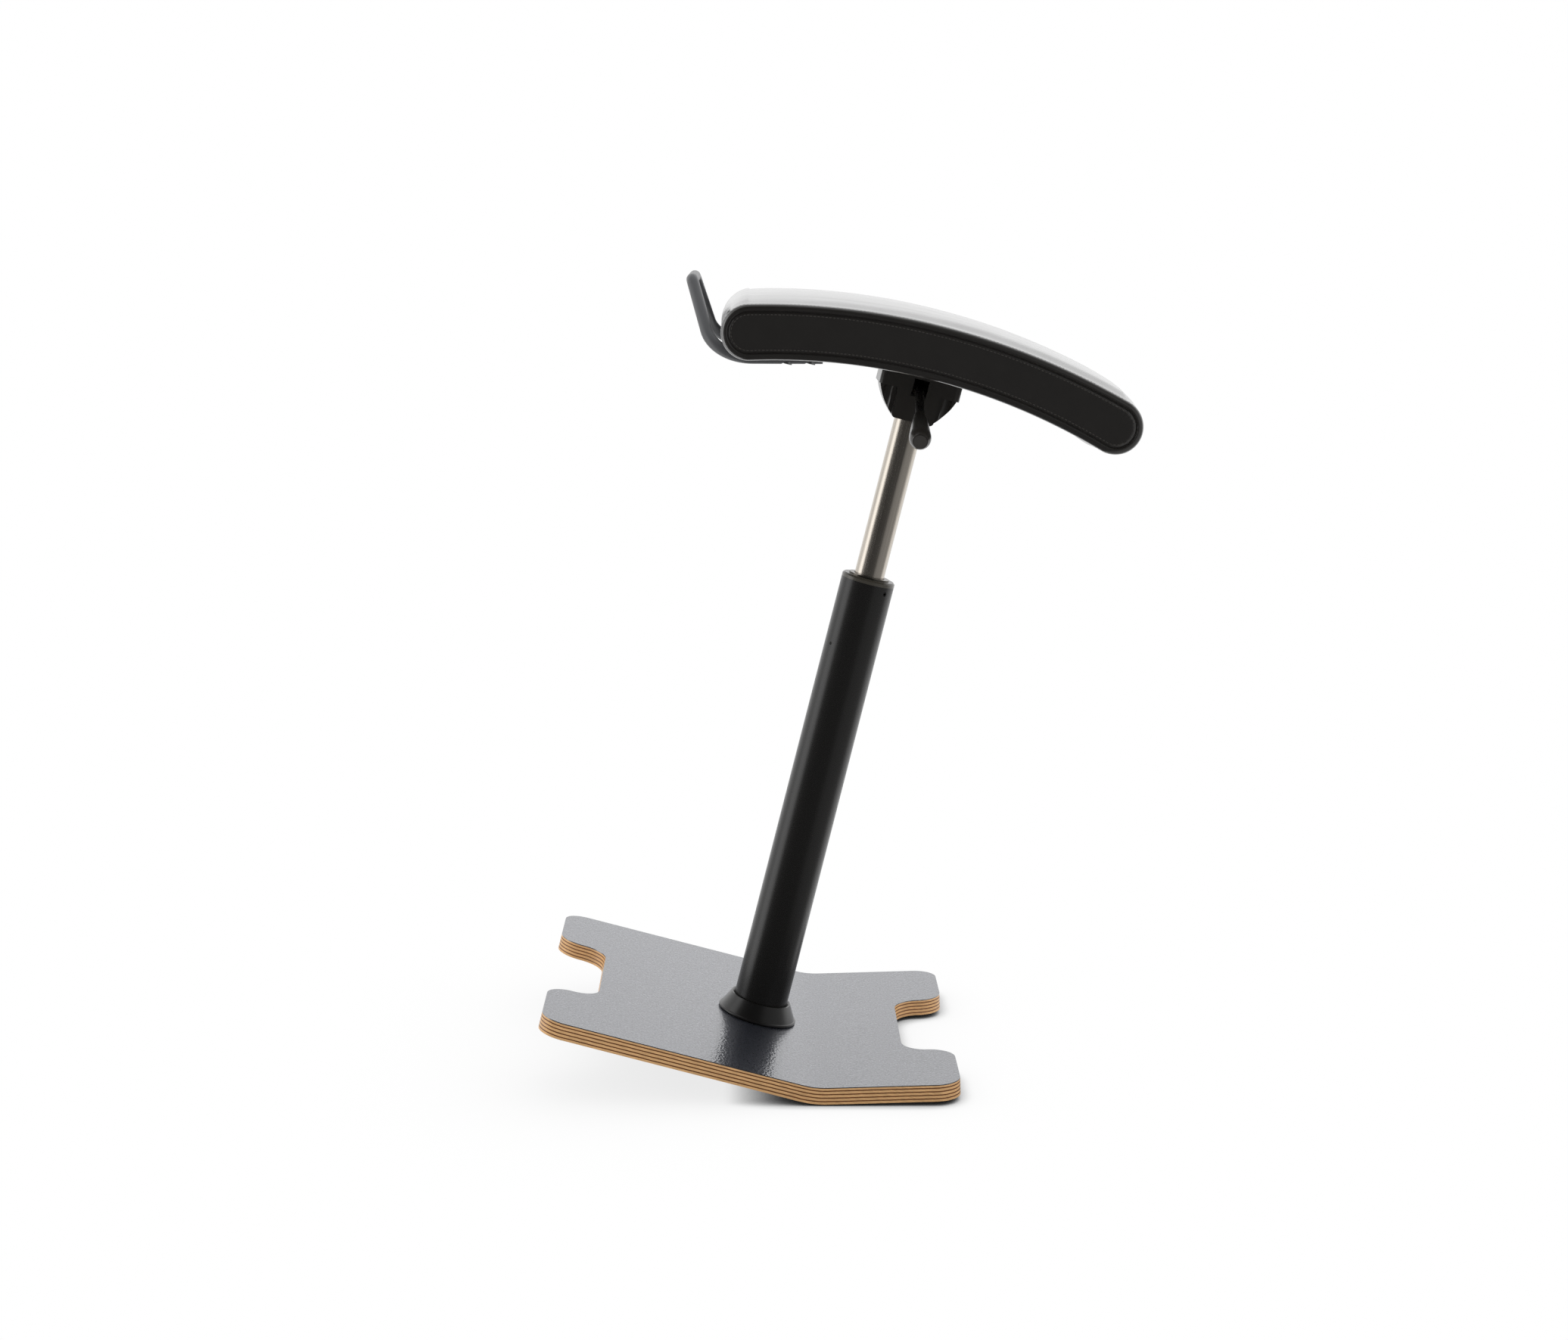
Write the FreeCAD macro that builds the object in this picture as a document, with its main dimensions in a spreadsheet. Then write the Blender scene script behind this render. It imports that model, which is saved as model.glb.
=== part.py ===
import FreeCAD, Part
import math
import os
import re

import Sketcher
from FreeCAD import Placement, Rotation, Vector

# Perch stool that rocks on a bent plywood base.
# Millimetres, +X towards the drooping front of the seat, +Y to the sitter's left, +Z up.
# World origin: middle of the rocking ridge, on the floor. The stool stands tilted forward on
# its ridge and its two front feet.
# Most pieces are drawn upright, in a frame whose origin is where the column's axis meets the
# top of the board, and are then leaned over by the tilt.

doc = FreeCAD.newDocument("perch_stool")

# Driving sizes

SIZES = (
    # Base board: a rear and a front facet joined by a bend, notched at both ends.
    ("board_width", 348.0),
    ("ply_thickness", 13.7),
    ("laminate_thickness", 0.8),
    ("bend_radius", 80.0),
    ("bend_angle", 16.0),
    ("axis_to_bend", 40.3),
    ("rear_length", 235.0),
    ("front_length", 116.5),
    ("corner_radius", 22.0),
    ("notch_depth", 46.0),
    ("notch_half_width", 75.5),
    ("lobe_radius", 23.0),
    ("tilt", 14.4),
    # Rubber under the board.
    ("strip_thickness", 1.8),
    ("strip_reach", 8.0),
    ("strip_inset", 14.0),
    ("contact_flat", 0.3),
    ("foot_radius", 14.0),
    ("foot_height", 4.6),
    ("rear_foot_edge_gap", 38.0),
    ("front_foot_edge_gap", 24.0),
    ("foot_screw_radius", 2.0),
    ("foot_screw_head_radius", 3.8),
    ("foot_screw_length", 10.0),
    # Fixing of the column to the board.
    ("clamp_plate_radius", 42.0),
    ("clamp_plate_thickness", 3.0),
    ("clamp_hole_radius", 11.0),
    ("flange_radius", 33.0),
    ("flange_thickness", 4.0),
    ("hub_height", 14.0),
    ("base_screw_radius", 3.0),
    ("base_screw_head_radius", 6.0),
    ("base_screw_circle", 17.0),
    ("base_screw_reach", 10.0),
    # Collar round the foot of the column.
    ("collar_radius", 36.6),
    ("collar_lip_height", 3.0),
    ("collar_top_radius", 28.0),
    ("collar_height", 16.0),
    ("collar_edge_radius", 1.4),
    # Stand tube and its guide bush.
    ("tube_radius", 25.0),
    ("tube_wall", 2.0),
    ("tube_top", 416.9),
    ("cap_height", 4.2),
    ("cap_chamfer", 1.5),
    ("bush_length", 91.0),
    ("bush_land", 14.0),
    ("ring_outer_radius", 19.0),
    ("ring_height", 1.4),
    ("set_screw_radius", 2.0),
    ("set_screw_drop", 6.0),
    ("set_screw_angle", -48.0),
    ("rivet_radius", 1.5),
    ("rivet_drop", 62.7),
    ("rivet_angle", 216.0),
    # Gas spring.
    ("cylinder_radius", 14.0),
    ("cylinder_wall", 1.5),
    ("cylinder_bottom", 262.0),
    ("cylinder_top", 602.0),
    ("cylinder_cap", 32.0),
    ("taper_top_radius", 13.2),
    ("plug_height", 25.0),
    ("rod_radius", 5.0),
    ("piston_bottom", 345.0),
    ("piston_height", 18.0),
    ("pin_radius", 3.95),
    ("pin_stem", 22.0),
    ("pin_dome_height", 2.0),
    ("pin_dome_radius", 1.5),
    ("pin_gap", 0.8),
    ("running_clearance", 0.06),
    # Thrust bearing at the foot of the rod.
    ("race_radius", 12.0),
    ("race_thickness", 1.5),
    ("ball_radius", 1.6),
    ("ball_circle", 8.6),
    ("cage_thickness", 1.6),
    ("bearing_gap", 0.1),
    ("washer_gap", 0.3),
    ("bumper_radius", 13.0),
    ("bumper_height", 20.0),
    ("clip_radius", 8.0),
    ("clip_thickness", 1.2),
    ("clip_groove_depth", 0.8),
    # Lever housing under the seat.
    ("housing_bottom", 573.0),
    ("housing_step", 601.0),
    ("housing_half_length", 38.0),
    ("housing_half_width", 36.0),
    ("housing_corner_radius", 6.0),
    ("gusset_half_width", 25.0),
    ("gusset_foot_half_length", 17.0),
    ("gusset_curve_radius", 62.0),
    ("boss_half_length", 20.0),
    ("boss_half_width", 33.0),
    ("window_half_width", 7.0),
    ("window_bottom", 596.5),
    ("window_top", 613.0),
    ("window_depth", 7.0),
    ("room_half_width", 8.5),
    ("room_bottom", 598.0),
    ("room_top", 620.0),
    ("room_end", 9.0),
    ("housing_screw_radius", 3.0),
    ("housing_screw_head_radius", 5.2),
    ("housing_screw_head_height", 4.0),
    ("housing_screw_place", 28.0),
    # Release lever, which reaches out to the sitter's right.
    ("lever_radius", 4.1),
    ("lever_slope", 14.05),
    ("lever_inner_reach", 5.0),
    ("lever_reach", 178.0),
    ("lever_tip_height", 566.9),
    ("pivot_place", 24.0),
    ("pivot_radius", 2.5),
    ("pivot_half_length", 15.0),
    ("grip_start", 72.0),
    ("grip_neck_radius", 5.2),
    ("grip_radius", 9.5),
    ("grip_widest", 18.0),
    ("grip_end_radius", 6.6),
    ("grip_cap_radius", 6.0),
    ("grip_cap_thickness", 2.0),
    ("grip_cap_proud", 0.8),
    # Seat pad: its side outline is an arch with round ends.
    ("seat_shift", -2.9),
    ("seat_half_width", 175.0),
    ("seat_end_place", 164.8),
    ("seat_end_height", 621.7),
    ("seat_end_radius", 24.5),
    ("seat_top", 668.9),
    ("seat_bottom", 621.2),
    ("seat_crown", 9.0),
    ("rim_radius", 5.0),
    ("side_band", 6.0),
    ("leather_thickness", 2.0),
    ("underside_recess", 7.5),
    ("underside_end_margin", 37.3),
    ("underside_side_margin", 8.0),
    ("underside_cover_thickness", 1.2),
    ("shell_thickness", 11.0),
    ("shell_end_margin", 31.3),
    ("shell_side_margin", 7.0),
    ("shell_gap", 0.05),
    ("nut_radius", 4.2),
    ("nut_flange_radius", 8.5),
    ("nut_flange_thickness", 1.2),
    # Grab handle behind the seat.
    ("bar_radius", 5.5),
    ("bar_gap", 0.2),
    ("bar_top_place", 228.0),
    ("bar_top_height", 651.0),
    ("bar_top_half_width", 66.0),
    ("bar_top_bend", 17.0),
    ("bar_foot_place", 191.5),
    ("bar_side_margin", 37.0),
    ("bar_foot_bend", 42.0),
    ("bar_end_place", 98.5),
    ("bar_slope", 0.253),
    ("bar_channel_gap", 0.3),
    ("handle_screw_radius", 2.5),
    ("handle_screw_head_radius", 4.6),
    ("handle_screw_head_height", 2.4),
    ("handle_screw_rear", 128.0),
    ("handle_screw_front", 108.0),
)

sizes = doc.addObject("Spreadsheet::Sheet", "Sizes")
for row, (alias, number) in enumerate(SIZES, start=1):
    sizes.set(f"A{row}", alias)
    sizes.set(f"B{row}", str(number))
    sizes.setAlias(f"B{row}", alias)
doc.recompute()


def size(text):
    """The number that a formula of the sheet's sizes has now."""
    result = sizes.evalExpression(text)
    return float(getattr(result, "Value", result))


def link(text):
    """The same formula as other objects write it, with the sheet's name before each size."""
    return re.sub(r"\b([a-z][a-z_]+)\b(?!\()", r"Sizes.\1", text)


def bind(item, **formulas):
    """Bind properties of an object to formulas of the sheet's sizes."""
    for prop, text in formulas.items():
        item.setExpression(prop.replace("__", "."), link(text))


# Heights and radii that several pieces share, as formulas of the driving sizes

BOARD = "(ply_thickness + laminate_thickness)"
UNDER_RADIUS = f"(bend_radius + {BOARD})"
TUBE_BORE = "(tube_radius - tube_wall)"
CAP_TOP = "(tube_top + cap_height)"
HUB_TOP = "(flange_thickness + hub_height)"
CYLINDER_BORE = "(cylinder_radius - cylinder_wall)"
BEARING_TOP = f"({HUB_TOP} + 2 * race_thickness + 2 * ball_radius + bearing_gap)"
LEVER_AT_AXIS = "(lever_tip_height + lever_reach * tan(lever_slope))"
PIN_TOP = f"({LEVER_AT_AXIS} - lever_radius / cos(lever_slope) - pin_gap)"
UNDERSIDE_HALF_LENGTH = "(seat_end_place + seat_end_radius - underside_end_margin)"
UNDERSIDE_HALF_WIDTH = "(seat_half_width - underside_side_margin)"
SHELL_HALF_LENGTH = "(seat_end_place + seat_end_radius - shell_end_margin)"
SHELL_HALF_WIDTH = "(seat_half_width - shell_side_margin)"
BAR_FOOT_HALF_WIDTH = "(seat_half_width - bar_side_margin)"

lean = Placement(
    Vector(
        size("-axis_to_bend * cos(tilt) - bend_radius * sin(tilt)"),
        0,
        size(f"{UNDER_RADIUS} + strip_thickness - contact_flat"
             " + axis_to_bend * sin(tilt) - bend_radius * cos(tilt)"),
    ),
    Rotation(Vector(0, 1, 0), size("tilt")),
)
front_turn = Placement(
    Vector(0, 0, 0), Rotation(Vector(0, 1, 0), -size("bend_angle")),
    Vector(size("axis_to_bend"), 0, size("bend_radius")),
)


def stand(item, turn=None):
    """Lean an upright piece over, after any turn of its own."""
    item.Placement = lean * turn * item.Placement if turn else lean * item.Placement
    return item


# Drawing helpers

def new_body(name):
    body = doc.addObject("PartDesign::Body", name)
    body.Label = name
    return body


def origin_plane(body, role):
    return next(item for item in body.Origin.OriginFeatures if item.Role == role)


def new_sketch(body, name, plane, height=None, turned=False):
    """A sketch on one of the body's own planes, raised by a formula."""
    sketch = body.newObject("Sketcher::SketchObject", name)
    sketch.AttachmentSupport = [(origin_plane(body, plane), "")]
    sketch.MapMode = "FlatFace"
    if height:
        bind(sketch, AttachmentOffset__Base__z=height)
    if turned:
        sketch.AttachmentOffset = front_turn
    return sketch


def arc_through(start, end, radius):
    """Arc of under half a turn from start to end; a positive radius turns to the left."""
    chord = end - start
    half = chord.Length / 2
    reach = math.sqrt(max(radius * radius - half * half, 0.0))
    side = Vector(-chord.y, chord.x, 0).normalize() * (reach if radius > 0 else -reach)
    centre = (start + end) / 2 + side
    middle = centre + ((start + end) / 2 - centre).normalize() * abs(radius)
    if reach < 1e-9:
        middle = centre - Vector(-chord.y, chord.x, 0).normalize() * radius
    return Part.Arc(start, middle, end)


def draw(sketch, corners):
    """Closed outline through corners (x, y) or (x, y, radius of the arc that arrives there)."""
    points = [Vector(size(corner[0]), size(corner[1]), 0) for corner in corners]
    ends = []
    for index, corner in enumerate(corners):
        start = points[index - 1]
        end = points[index]
        if len(corner) == 3:
            radius = size(corner[2])
            curve = sketch.addGeometry(arc_through(start, end, radius))
            ends.append((curve, 1, 2) if radius > 0 else (curve, 2, 1))
            rule = sketch.addConstraint(Sketcher.Constraint("Radius", curve, abs(radius)))
            sketch.setExpression(f"Constraints[{rule}]", link(f"abs({corner[2]})"))
        else:
            line = sketch.addGeometry(Part.LineSegment(start, end))
            ends.append((line, 1, 2))
    for index, corner in enumerate(corners):
        piece, _, tail = ends[index]
        follower, head, _ = ends[(index + 1) % len(ends)]
        sketch.addConstraint(Sketcher.Constraint("Coincident", piece, tail, follower, head))
        for kind, text, place in (("DistanceX", corner[0], points[index].x),
                                  ("DistanceY", corner[1], points[index].y)):
            rule = sketch.addConstraint(Sketcher.Constraint(kind, piece, tail, place))
            sketch.setExpression(f"Constraints[{rule}]", link(text))
    return sketch


def draw_circles(sketch, circles):
    """Circles (x, y, radius)."""
    for across, along, radius in circles:
        centre = Vector(size(across), size(along), 0)
        curve = sketch.addGeometry(Part.Circle(centre, Vector(0, 0, 1), size(radius)))
        for kind, text, place in (("DistanceX", across, centre.x), ("DistanceY", along, centre.y)):
            rule = sketch.addConstraint(Sketcher.Constraint(kind, curve, 3, place))
            sketch.setExpression(f"Constraints[{rule}]", link(text))
        rule = sketch.addConstraint(Sketcher.Constraint("Radius", curve, size(radius)))
        sketch.setExpression(f"Constraints[{rule}]", link(radius))
    return sketch


def pad(body, sketch, length, both_sides=True):
    feature = body.newObject("PartDesign::Pad", sketch.Name + "_pad")
    feature.Profile = sketch
    feature.Midplane = both_sides
    bind(feature, Length=length)
    return feature


def cut(body, sketch, depth, both_sides=True, upward=False):
    feature = body.newObject("PartDesign::Pocket", sketch.Name + "_cut")
    feature.Profile = sketch
    feature.Midplane = both_sides
    feature.Reversed = upward
    bind(feature, Length=depth)
    return feature


def turned_body(name, corners):
    """A body of revolution about the column's axis from corners (radius, height)."""
    body = new_body(name)
    sketch = draw(new_sketch(body, name + "_section", "XZ_Plane"), corners)
    feature = body.newObject("PartDesign::Revolution", name + "_turn")
    feature.Profile = sketch
    feature.ReferenceAxis = (sketch, ["V_Axis"])
    feature.Angle = 360
    return body


def ring_corners(inner, outer, low, high):
    return [(inner, low), (outer, low), (outer, high), (inner, high)]


def plain_cylinder(name, radius, height):
    item = doc.addObject("Part::Cylinder", name)
    bind(item, Radius=radius, Height=height)
    return item


def plain_cone(name, low_radius, high_radius, height):
    item = doc.addObject("Part::Cone", name)
    bind(item, Radius1=low_radius, Radius2=high_radius, Height=height)
    return item


def joined(name, items):
    fuse = doc.addObject("Part::MultiFuse", name)
    fuse.Shapes = items
    return fuse


def group(name, items):
    compound = doc.addObject("Part::Compound", name)
    compound.Label = name
    compound.Links = items
    return compound


def shape_node(name, shape):
    item = doc.addObject("Part::Feature", name)
    item.Label = name
    item.Shape = shape
    return item


nodes = []


def keep(item):
    nodes.append(item)
    return item


# Base board

def bent_sheet(name, inner, thickness, rear, front, width):
    """A sheet that follows the board's bend: it lies below a surface of the inner radius."""
    body = new_body(name)
    level = f"(bend_radius - {inner})"
    outer = f"({inner} + {thickness})"
    centre = "axis_to_bend"
    turn = "bend_angle"
    corners = [
        (f"{centre} - {rear}", f"{level} - {thickness}"),
        (centre, f"{level} - {thickness}"),
        (f"{centre} + {outer} * sin({turn})", f"bend_radius - {outer} * cos({turn})", outer),
        (f"{centre} + {outer} * sin({turn}) + {front} * cos({turn})",
         f"bend_radius - {outer} * cos({turn}) + {front} * sin({turn})"),
        (f"{centre} + {inner} * sin({turn}) + {front} * cos({turn})",
         f"bend_radius - {inner} * cos({turn}) + {front} * sin({turn})"),
        (f"{centre} + {inner} * sin({turn})", f"bend_radius - {inner} * cos({turn})"),
        (centre, level, f"-{inner}"),
        (f"{centre} - {rear}", level),
    ]
    pad(body, draw(new_sketch(body, name + "_side", "XZ_Plane"), corners), width)
    return body


def end_cut_corners(end, outward):
    """What is cut away past one end: round corners, two lobes and the notch between them."""
    def at(inset):
        return f"{end} - {outward} * ({inset})"
    half = "board_width / 2"
    lobe = "(notch_half_width + lobe_radius)"
    inner = "(notch_depth - lobe_radius)"
    turn = "" if outward > 0 else "-"
    back = "-" if outward > 0 else ""
    far = f"{end} + {outward} * 40"
    return [
        (far, f"{half} + 40"),
        (at("corner_radius"), f"{half} + 40"),
        (at("corner_radius"), half),
        (at("0"), f"{half} - corner_radius", f"{back}corner_radius"),
        (at("0"), lobe),
        (at("lobe_radius"), "notch_half_width", f"{back}lobe_radius"),
        (at("notch_depth"), f"notch_half_width - {inner}", f"{turn}{inner}"),
        (at("notch_depth"), f"-(notch_half_width - {inner})"),
        (at("lobe_radius"), "-notch_half_width", f"{turn}{inner}"),
        (at("0"), f"-{lobe}", f"{back}lobe_radius"),
        (at("0"), f"-({half} - corner_radius)"),
        (at("corner_radius"), f"-{half}", f"{back}corner_radius"),
        (at("corner_radius"), f"-({half} + 40)"),
        (far, f"-({half} + 40)"),
    ]


def shape_ends(body):
    """Cut both ends of a bent sheet to the board's outline."""
    rear = new_sketch(body, body.Name + "_rear_end", "XY_Plane")
    draw(rear, end_cut_corners("(axis_to_bend - rear_length)", -1))
    cut(body, rear, "100")
    front = new_sketch(body, body.Name + "_front_end", "XY_Plane", turned=True)
    draw(front, end_cut_corners("(axis_to_bend + front_length)", 1))
    cut(body, front, "100")


base_board = keep(bent_sheet("base_board", "(bend_radius + laminate_thickness)", "ply_thickness",
                             "rear_length", "front_length", "board_width"))
shape_ends(base_board)
through = draw_circles(new_sketch(base_board, "rod_way", "XY_Plane"),
                       [("0", "0", "clamp_hole_radius")])
cut(base_board, through, "100")
recess = draw_circles(new_sketch(base_board, "plate_recess", "XY_Plane", f"-{BOARD}"),
                      [("0", "0", "clamp_plate_radius")])
cut(base_board, recess, "clamp_plate_thickness", both_sides=False, upward=True)
quarter = ((1, 1), (-1, 1), (-1, -1), (1, -1))
screw_spots = [(f"{sx} * base_screw_circle * cos(45)", f"{sy} * base_screw_circle * sin(45)")
               for sx, sy in quarter]
board_holes = draw_circles(new_sketch(base_board, "board_holes", "XY_Plane"),
                           [(x, y, "base_screw_radius") for x, y in screw_spots])
cut(base_board, board_holes, "100")

top_laminate = keep(bent_sheet("top_laminate", "bend_radius", "laminate_thickness",
                               "rear_length", "front_length", "board_width"))
shape_ends(top_laminate)
laminate_way = draw_circles(new_sketch(top_laminate, "laminate_way", "XY_Plane"),
                            [("0", "0", "clamp_hole_radius")]
                            + [(x, y, "base_screw_radius") for x, y in screw_spots])
cut(top_laminate, laminate_way, "100")

ridge_strip = keep(bent_sheet("ridge_strip", UNDER_RADIUS, "strip_thickness", "strip_reach",
                              "strip_reach", "board_width - 2 * strip_inset"))

for item in (base_board, top_laminate):
    stand(item)

doc.recompute()

# The strip is worn flat where it meets the floor
board_reach = size("rear_length + front_length + board_width")


def below_floor():
    """A block under the floor, wider than the board."""
    return Part.makeBox(2 * board_reach, 2 * board_reach, board_reach,
                        Vector(-board_reach, -board_reach, -board_reach))


strip_solid = ridge_strip.Shape.copy()
strip_solid.Placement = lean * strip_solid.Placement
nodes.remove(ridge_strip)
ridge_strip.Label = "ridge_strip_whole"
ridge = keep(shape_node("ridge_strip_flat", strip_solid.cut(below_floor())))
ridge.Label = "ridge_strip"

# Feet: rubber discs under the four lobes, each with a countersunk screw

def foot_on(name, height):
    """Upright rubber disc with its top at height 0 and a countersunk hole from below."""
    disc = plain_cylinder(name + "_disc", "foot_radius", height)
    bind(disc, Placement__Base__z=f"-({height})")
    hole = plain_cylinder(name + "_hole", "foot_screw_radius", "40")
    bind(hole, Placement__Base__z="-20")
    sink = plain_cylinder(name + "_sink", "foot_screw_head_radius", "20")
    bind(sink, Placement__Base__z="-22.5")
    tools = joined(name + "_tools", [hole, sink])
    result = doc.addObject("Part::Cut", name)
    result.Base = disc
    result.Tool = tools
    result.Label = name
    return result


def foot_screw(name):
    shank = plain_cone(name + "_shank", "foot_screw_radius", "foot_screw_radius * 0.4",
                       "foot_screw_length")
    neck = plain_cylinder(name + "_neck", "foot_screw_radius", "2.5")
    bind(neck, Placement__Base__z="-2.5")
    head = plain_cylinder(name + "_head", "foot_screw_head_radius", "1.2")
    bind(head, Placement__Base__z="-3.7")
    return joined(name, [shank, neck, head])


foot_screws = []
rear_foot_inset = size("board_width / 2 - rear_foot_edge_gap")
front_foot_inset = size("board_width / 2 - front_foot_edge_gap")
rear_foot_x = size("axis_to_bend - rear_length + rear_foot_edge_gap")
front_foot_x = size("axis_to_bend + front_length - front_foot_edge_gap")
under = size(f"-{BOARD}")
for end, foot_x, foot_inset in (("rear", rear_foot_x, rear_foot_inset),
                                ("front", front_foot_x, front_foot_inset)):
    for side, sign in (("left", 1), ("right", -1)):
        name = f"{end}_foot_{side}"
        spot = Placement(Vector(foot_x, sign * foot_inset, under), Rotation())
        turn = front_turn if end == "front" else None
        foot = foot_on(name, "foot_height + 3" if end == "front" else "foot_height")
        foot.Placement = spot
        stand(foot, turn)
        screw = foot_screw(f"foot_screw_{end}_{side}")
        screw.Placement = spot
        stand(screw, turn)
        foot_screws.append(screw)
        if end == "rear":
            keep(foot)
        else:
            floor_tool = shape_node(name + "_floor", below_floor())
            level_foot = doc.addObject("Part::Cut", name + "_level")
            level_foot.Base = foot
            level_foot.Tool = floor_tool
            foot.Label = name + "_whole"
            level_foot.Label = name
            keep(level_foot)
keep(group("foot_screws", foot_screws))

# The board's pilot holes take the foot screws
doc.recompute()
pilot = Part.makeCompound([screw.Shape for screw in foot_screws])
board_solid = base_board.Shape.cut(pilot)
base_board.Label = "base_board_blank"
nodes.remove(base_board)
base_board = keep(shape_node("base_board_drilled", board_solid))
base_board.Label = "base_board"

# Plate, screws and flange that hold the column on the board

clamp_plate = keep(turned_body("clamp_plate", ring_corners(
    "clamp_hole_radius", "clamp_plate_radius", f"-{BOARD}", f"clamp_plate_thickness - {BOARD}")))
plate_holes = draw_circles(new_sketch(clamp_plate, "plate_holes", "XY_Plane"),
                           [(x, y, "base_screw_radius") for x, y in screw_spots])
cut(clamp_plate, plate_holes, "100")
stand(clamp_plate)

base_screws = []
for index, (x, y) in enumerate(screw_spots):
    shank = plain_cylinder(f"base_screw_shank_{index}", "base_screw_radius",
                           f"base_screw_reach + {BOARD}")
    head = plain_cylinder(f"base_screw_head_{index}", "base_screw_head_radius", "1.6")
    head.Placement.Base = Vector(0, 0, -1.6)
    screw = joined(f"base_screw_{index}", [shank, head])
    screw.Placement.Base = Vector(size(x), size(y), under)
    base_screws.append(stand(screw))
keep(group("base_screws", base_screws))

foot_flange = keep(turned_body("foot_flange", [
    ("rod_radius + running_clearance", "0"), ("flange_radius", "0"),
    ("flange_radius", "flange_thickness"), (TUBE_BORE, "flange_thickness"),
    (TUBE_BORE, HUB_TOP), ("rod_radius + running_clearance", HUB_TOP)]))
flange_holes = draw_circles(new_sketch(foot_flange, "flange_holes", "XY_Plane", "0"),
                            [(x, y, "base_screw_radius") for x, y in screw_spots])
cut(foot_flange, flange_holes, "base_screw_reach", both_sides=False, upward=True)
stand(foot_flange)

collar = keep(turned_body("collar", [
    ("flange_radius", "0"), ("collar_radius - collar_edge_radius", "0"),
    ("collar_radius", "collar_edge_radius", "collar_edge_radius"),
    ("collar_radius", "collar_lip_height - collar_edge_radius"),
    ("collar_radius - collar_edge_radius", "collar_lip_height", "collar_edge_radius"),
    ("collar_top_radius", "collar_height"), ("tube_radius + 1.8", "collar_height"),
    ("tube_radius", "collar_height - 1.8"), ("tube_radius", "flange_thickness"),
    ("flange_radius", "flange_thickness")]))
stand(collar)

# Stand tube, guide bush and trim ring

stand_tube = keep(turned_body("stand_tube", ring_corners(
    TUBE_BORE, "tube_radius", "flange_thickness", "tube_top")))
guide_bore = "(cylinder_radius + running_clearance)"
relief = "(cylinder_radius + 1.5)"
low_land = "(tube_top - bush_length + bush_land)"
guide_bush = keep(turned_body("guide_bush", [
    (guide_bore, "tube_top - bush_length"), (TUBE_BORE, "tube_top - bush_length"),
    (TUBE_BORE, "tube_top"), ("tube_radius", "tube_top"),
    ("tube_radius", f"{CAP_TOP} - cap_chamfer"), ("tube_radius - cap_chamfer", CAP_TOP),
    (guide_bore, CAP_TOP), (guide_bore, "tube_top - bush_land"),
    (relief, "tube_top - bush_land"), (relief, low_land), (guide_bore, low_land)]))
bush_ring = keep(turned_body("bush_ring", ring_corners(
    "cylinder_radius + 0.5", "ring_outer_radius", CAP_TOP, f"{CAP_TOP} + ring_height")))
stand(bush_ring)
doc.recompute()


def radial_pin(name, radius, length, drop, angle):
    """A pin that points out from the column's axis, its outer end just inside the tube's skin."""
    item = plain_cylinder(name, radius, length)
    turn = Rotation(Vector(0, 0, 1), size(angle)) * Rotation(Vector(0, 1, 0), 90)
    start = turn.multVec(Vector(0, 0, size(f"tube_radius - 0.3 - {length}")))
    item.Placement = Placement(start + Vector(0, 0, size(f"tube_top - {drop}")), turn)
    return item


set_screw_pin = radial_pin("set_screw_pin", "set_screw_radius", "6", "set_screw_drop",
                           "set_screw_angle")
socket = radial_pin("set_screw_socket", "set_screw_radius * 0.5", "2", "set_screw_drop",
                    "set_screw_angle")
set_screw = doc.addObject("Part::Cut", "set_screw")
set_screw.Base = set_screw_pin
set_screw.Tool = socket
guide_rivet = radial_pin("guide_rivet", "rivet_radius", "5", "rivet_drop", "rivet_angle")
bore_shapes = []
for pin, radius in ((set_screw_pin, "set_screw_radius"), (guide_rivet, "rivet_radius")):
    outward = pin.Placement.Rotation.multVec(Vector(0, 0, 1))
    bore_shapes.append(Part.makeCylinder(size(radius), 9, pin.Placement.Base, outward))
doc.recompute()
for blank, name in ((stand_tube, "stand_tube"), (guide_bush, "guide_bush")):
    drilled = blank.Shape.cut(Part.makeCompound(bore_shapes))
    nodes.remove(blank)
    blank.Label = name + "_blank"
    piece = keep(stand(shape_node(name + "_drilled", drilled)))
    piece.Label = name
for item in (set_screw, guide_rivet):
    keep(stand(item))

# Rod, piston, thrust bearing and clip

groove = "(rod_radius - clip_groove_depth)"
groove_top = "(-washer_gap - clip_thickness)"
groove_bottom = "(-washer_gap - 2 * clip_thickness)"
piston_rod = keep(stand(turned_body("piston_rod", [
    ("0", f"{groove_bottom} - 2"), ("rod_radius", f"{groove_bottom} - 2"),
    ("rod_radius", groove_bottom), (groove, groove_bottom), (groove, groove_top),
    ("rod_radius", groove_top), ("rod_radius", "piston_bottom"), ("0", "piston_bottom")])))
piston = keep(stand(turned_body("piston", [
    ("0", "piston_bottom"), (f"{CYLINDER_BORE} - running_clearance", "piston_bottom"),
    (f"{CYLINDER_BORE} - running_clearance", "piston_bottom + piston_height"),
    ("0", "piston_bottom + piston_height")])))
rod_washer = keep(stand(turned_body("rod_washer", ring_corners(
    "rod_radius", "clip_radius + 1.5", groove_top, "-washer_gap"))))
rod_clip = keep(stand(turned_body("rod_clip", ring_corners(
    groove, "clip_radius", groove_bottom, groove_top))))
race_bore = "(rod_radius + 0.3)"
lower_race = keep(stand(turned_body("lower_race", ring_corners(
    race_bore, "race_radius", HUB_TOP, f"{HUB_TOP} + race_thickness"))))
ball_level = f"({HUB_TOP} + race_thickness + ball_radius)"
cage = keep(turned_body("bearing_cage", ring_corners(
    race_bore, "race_radius", f"{ball_level} - cage_thickness / 2",
    f"{ball_level} + cage_thickness / 2")))
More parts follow.
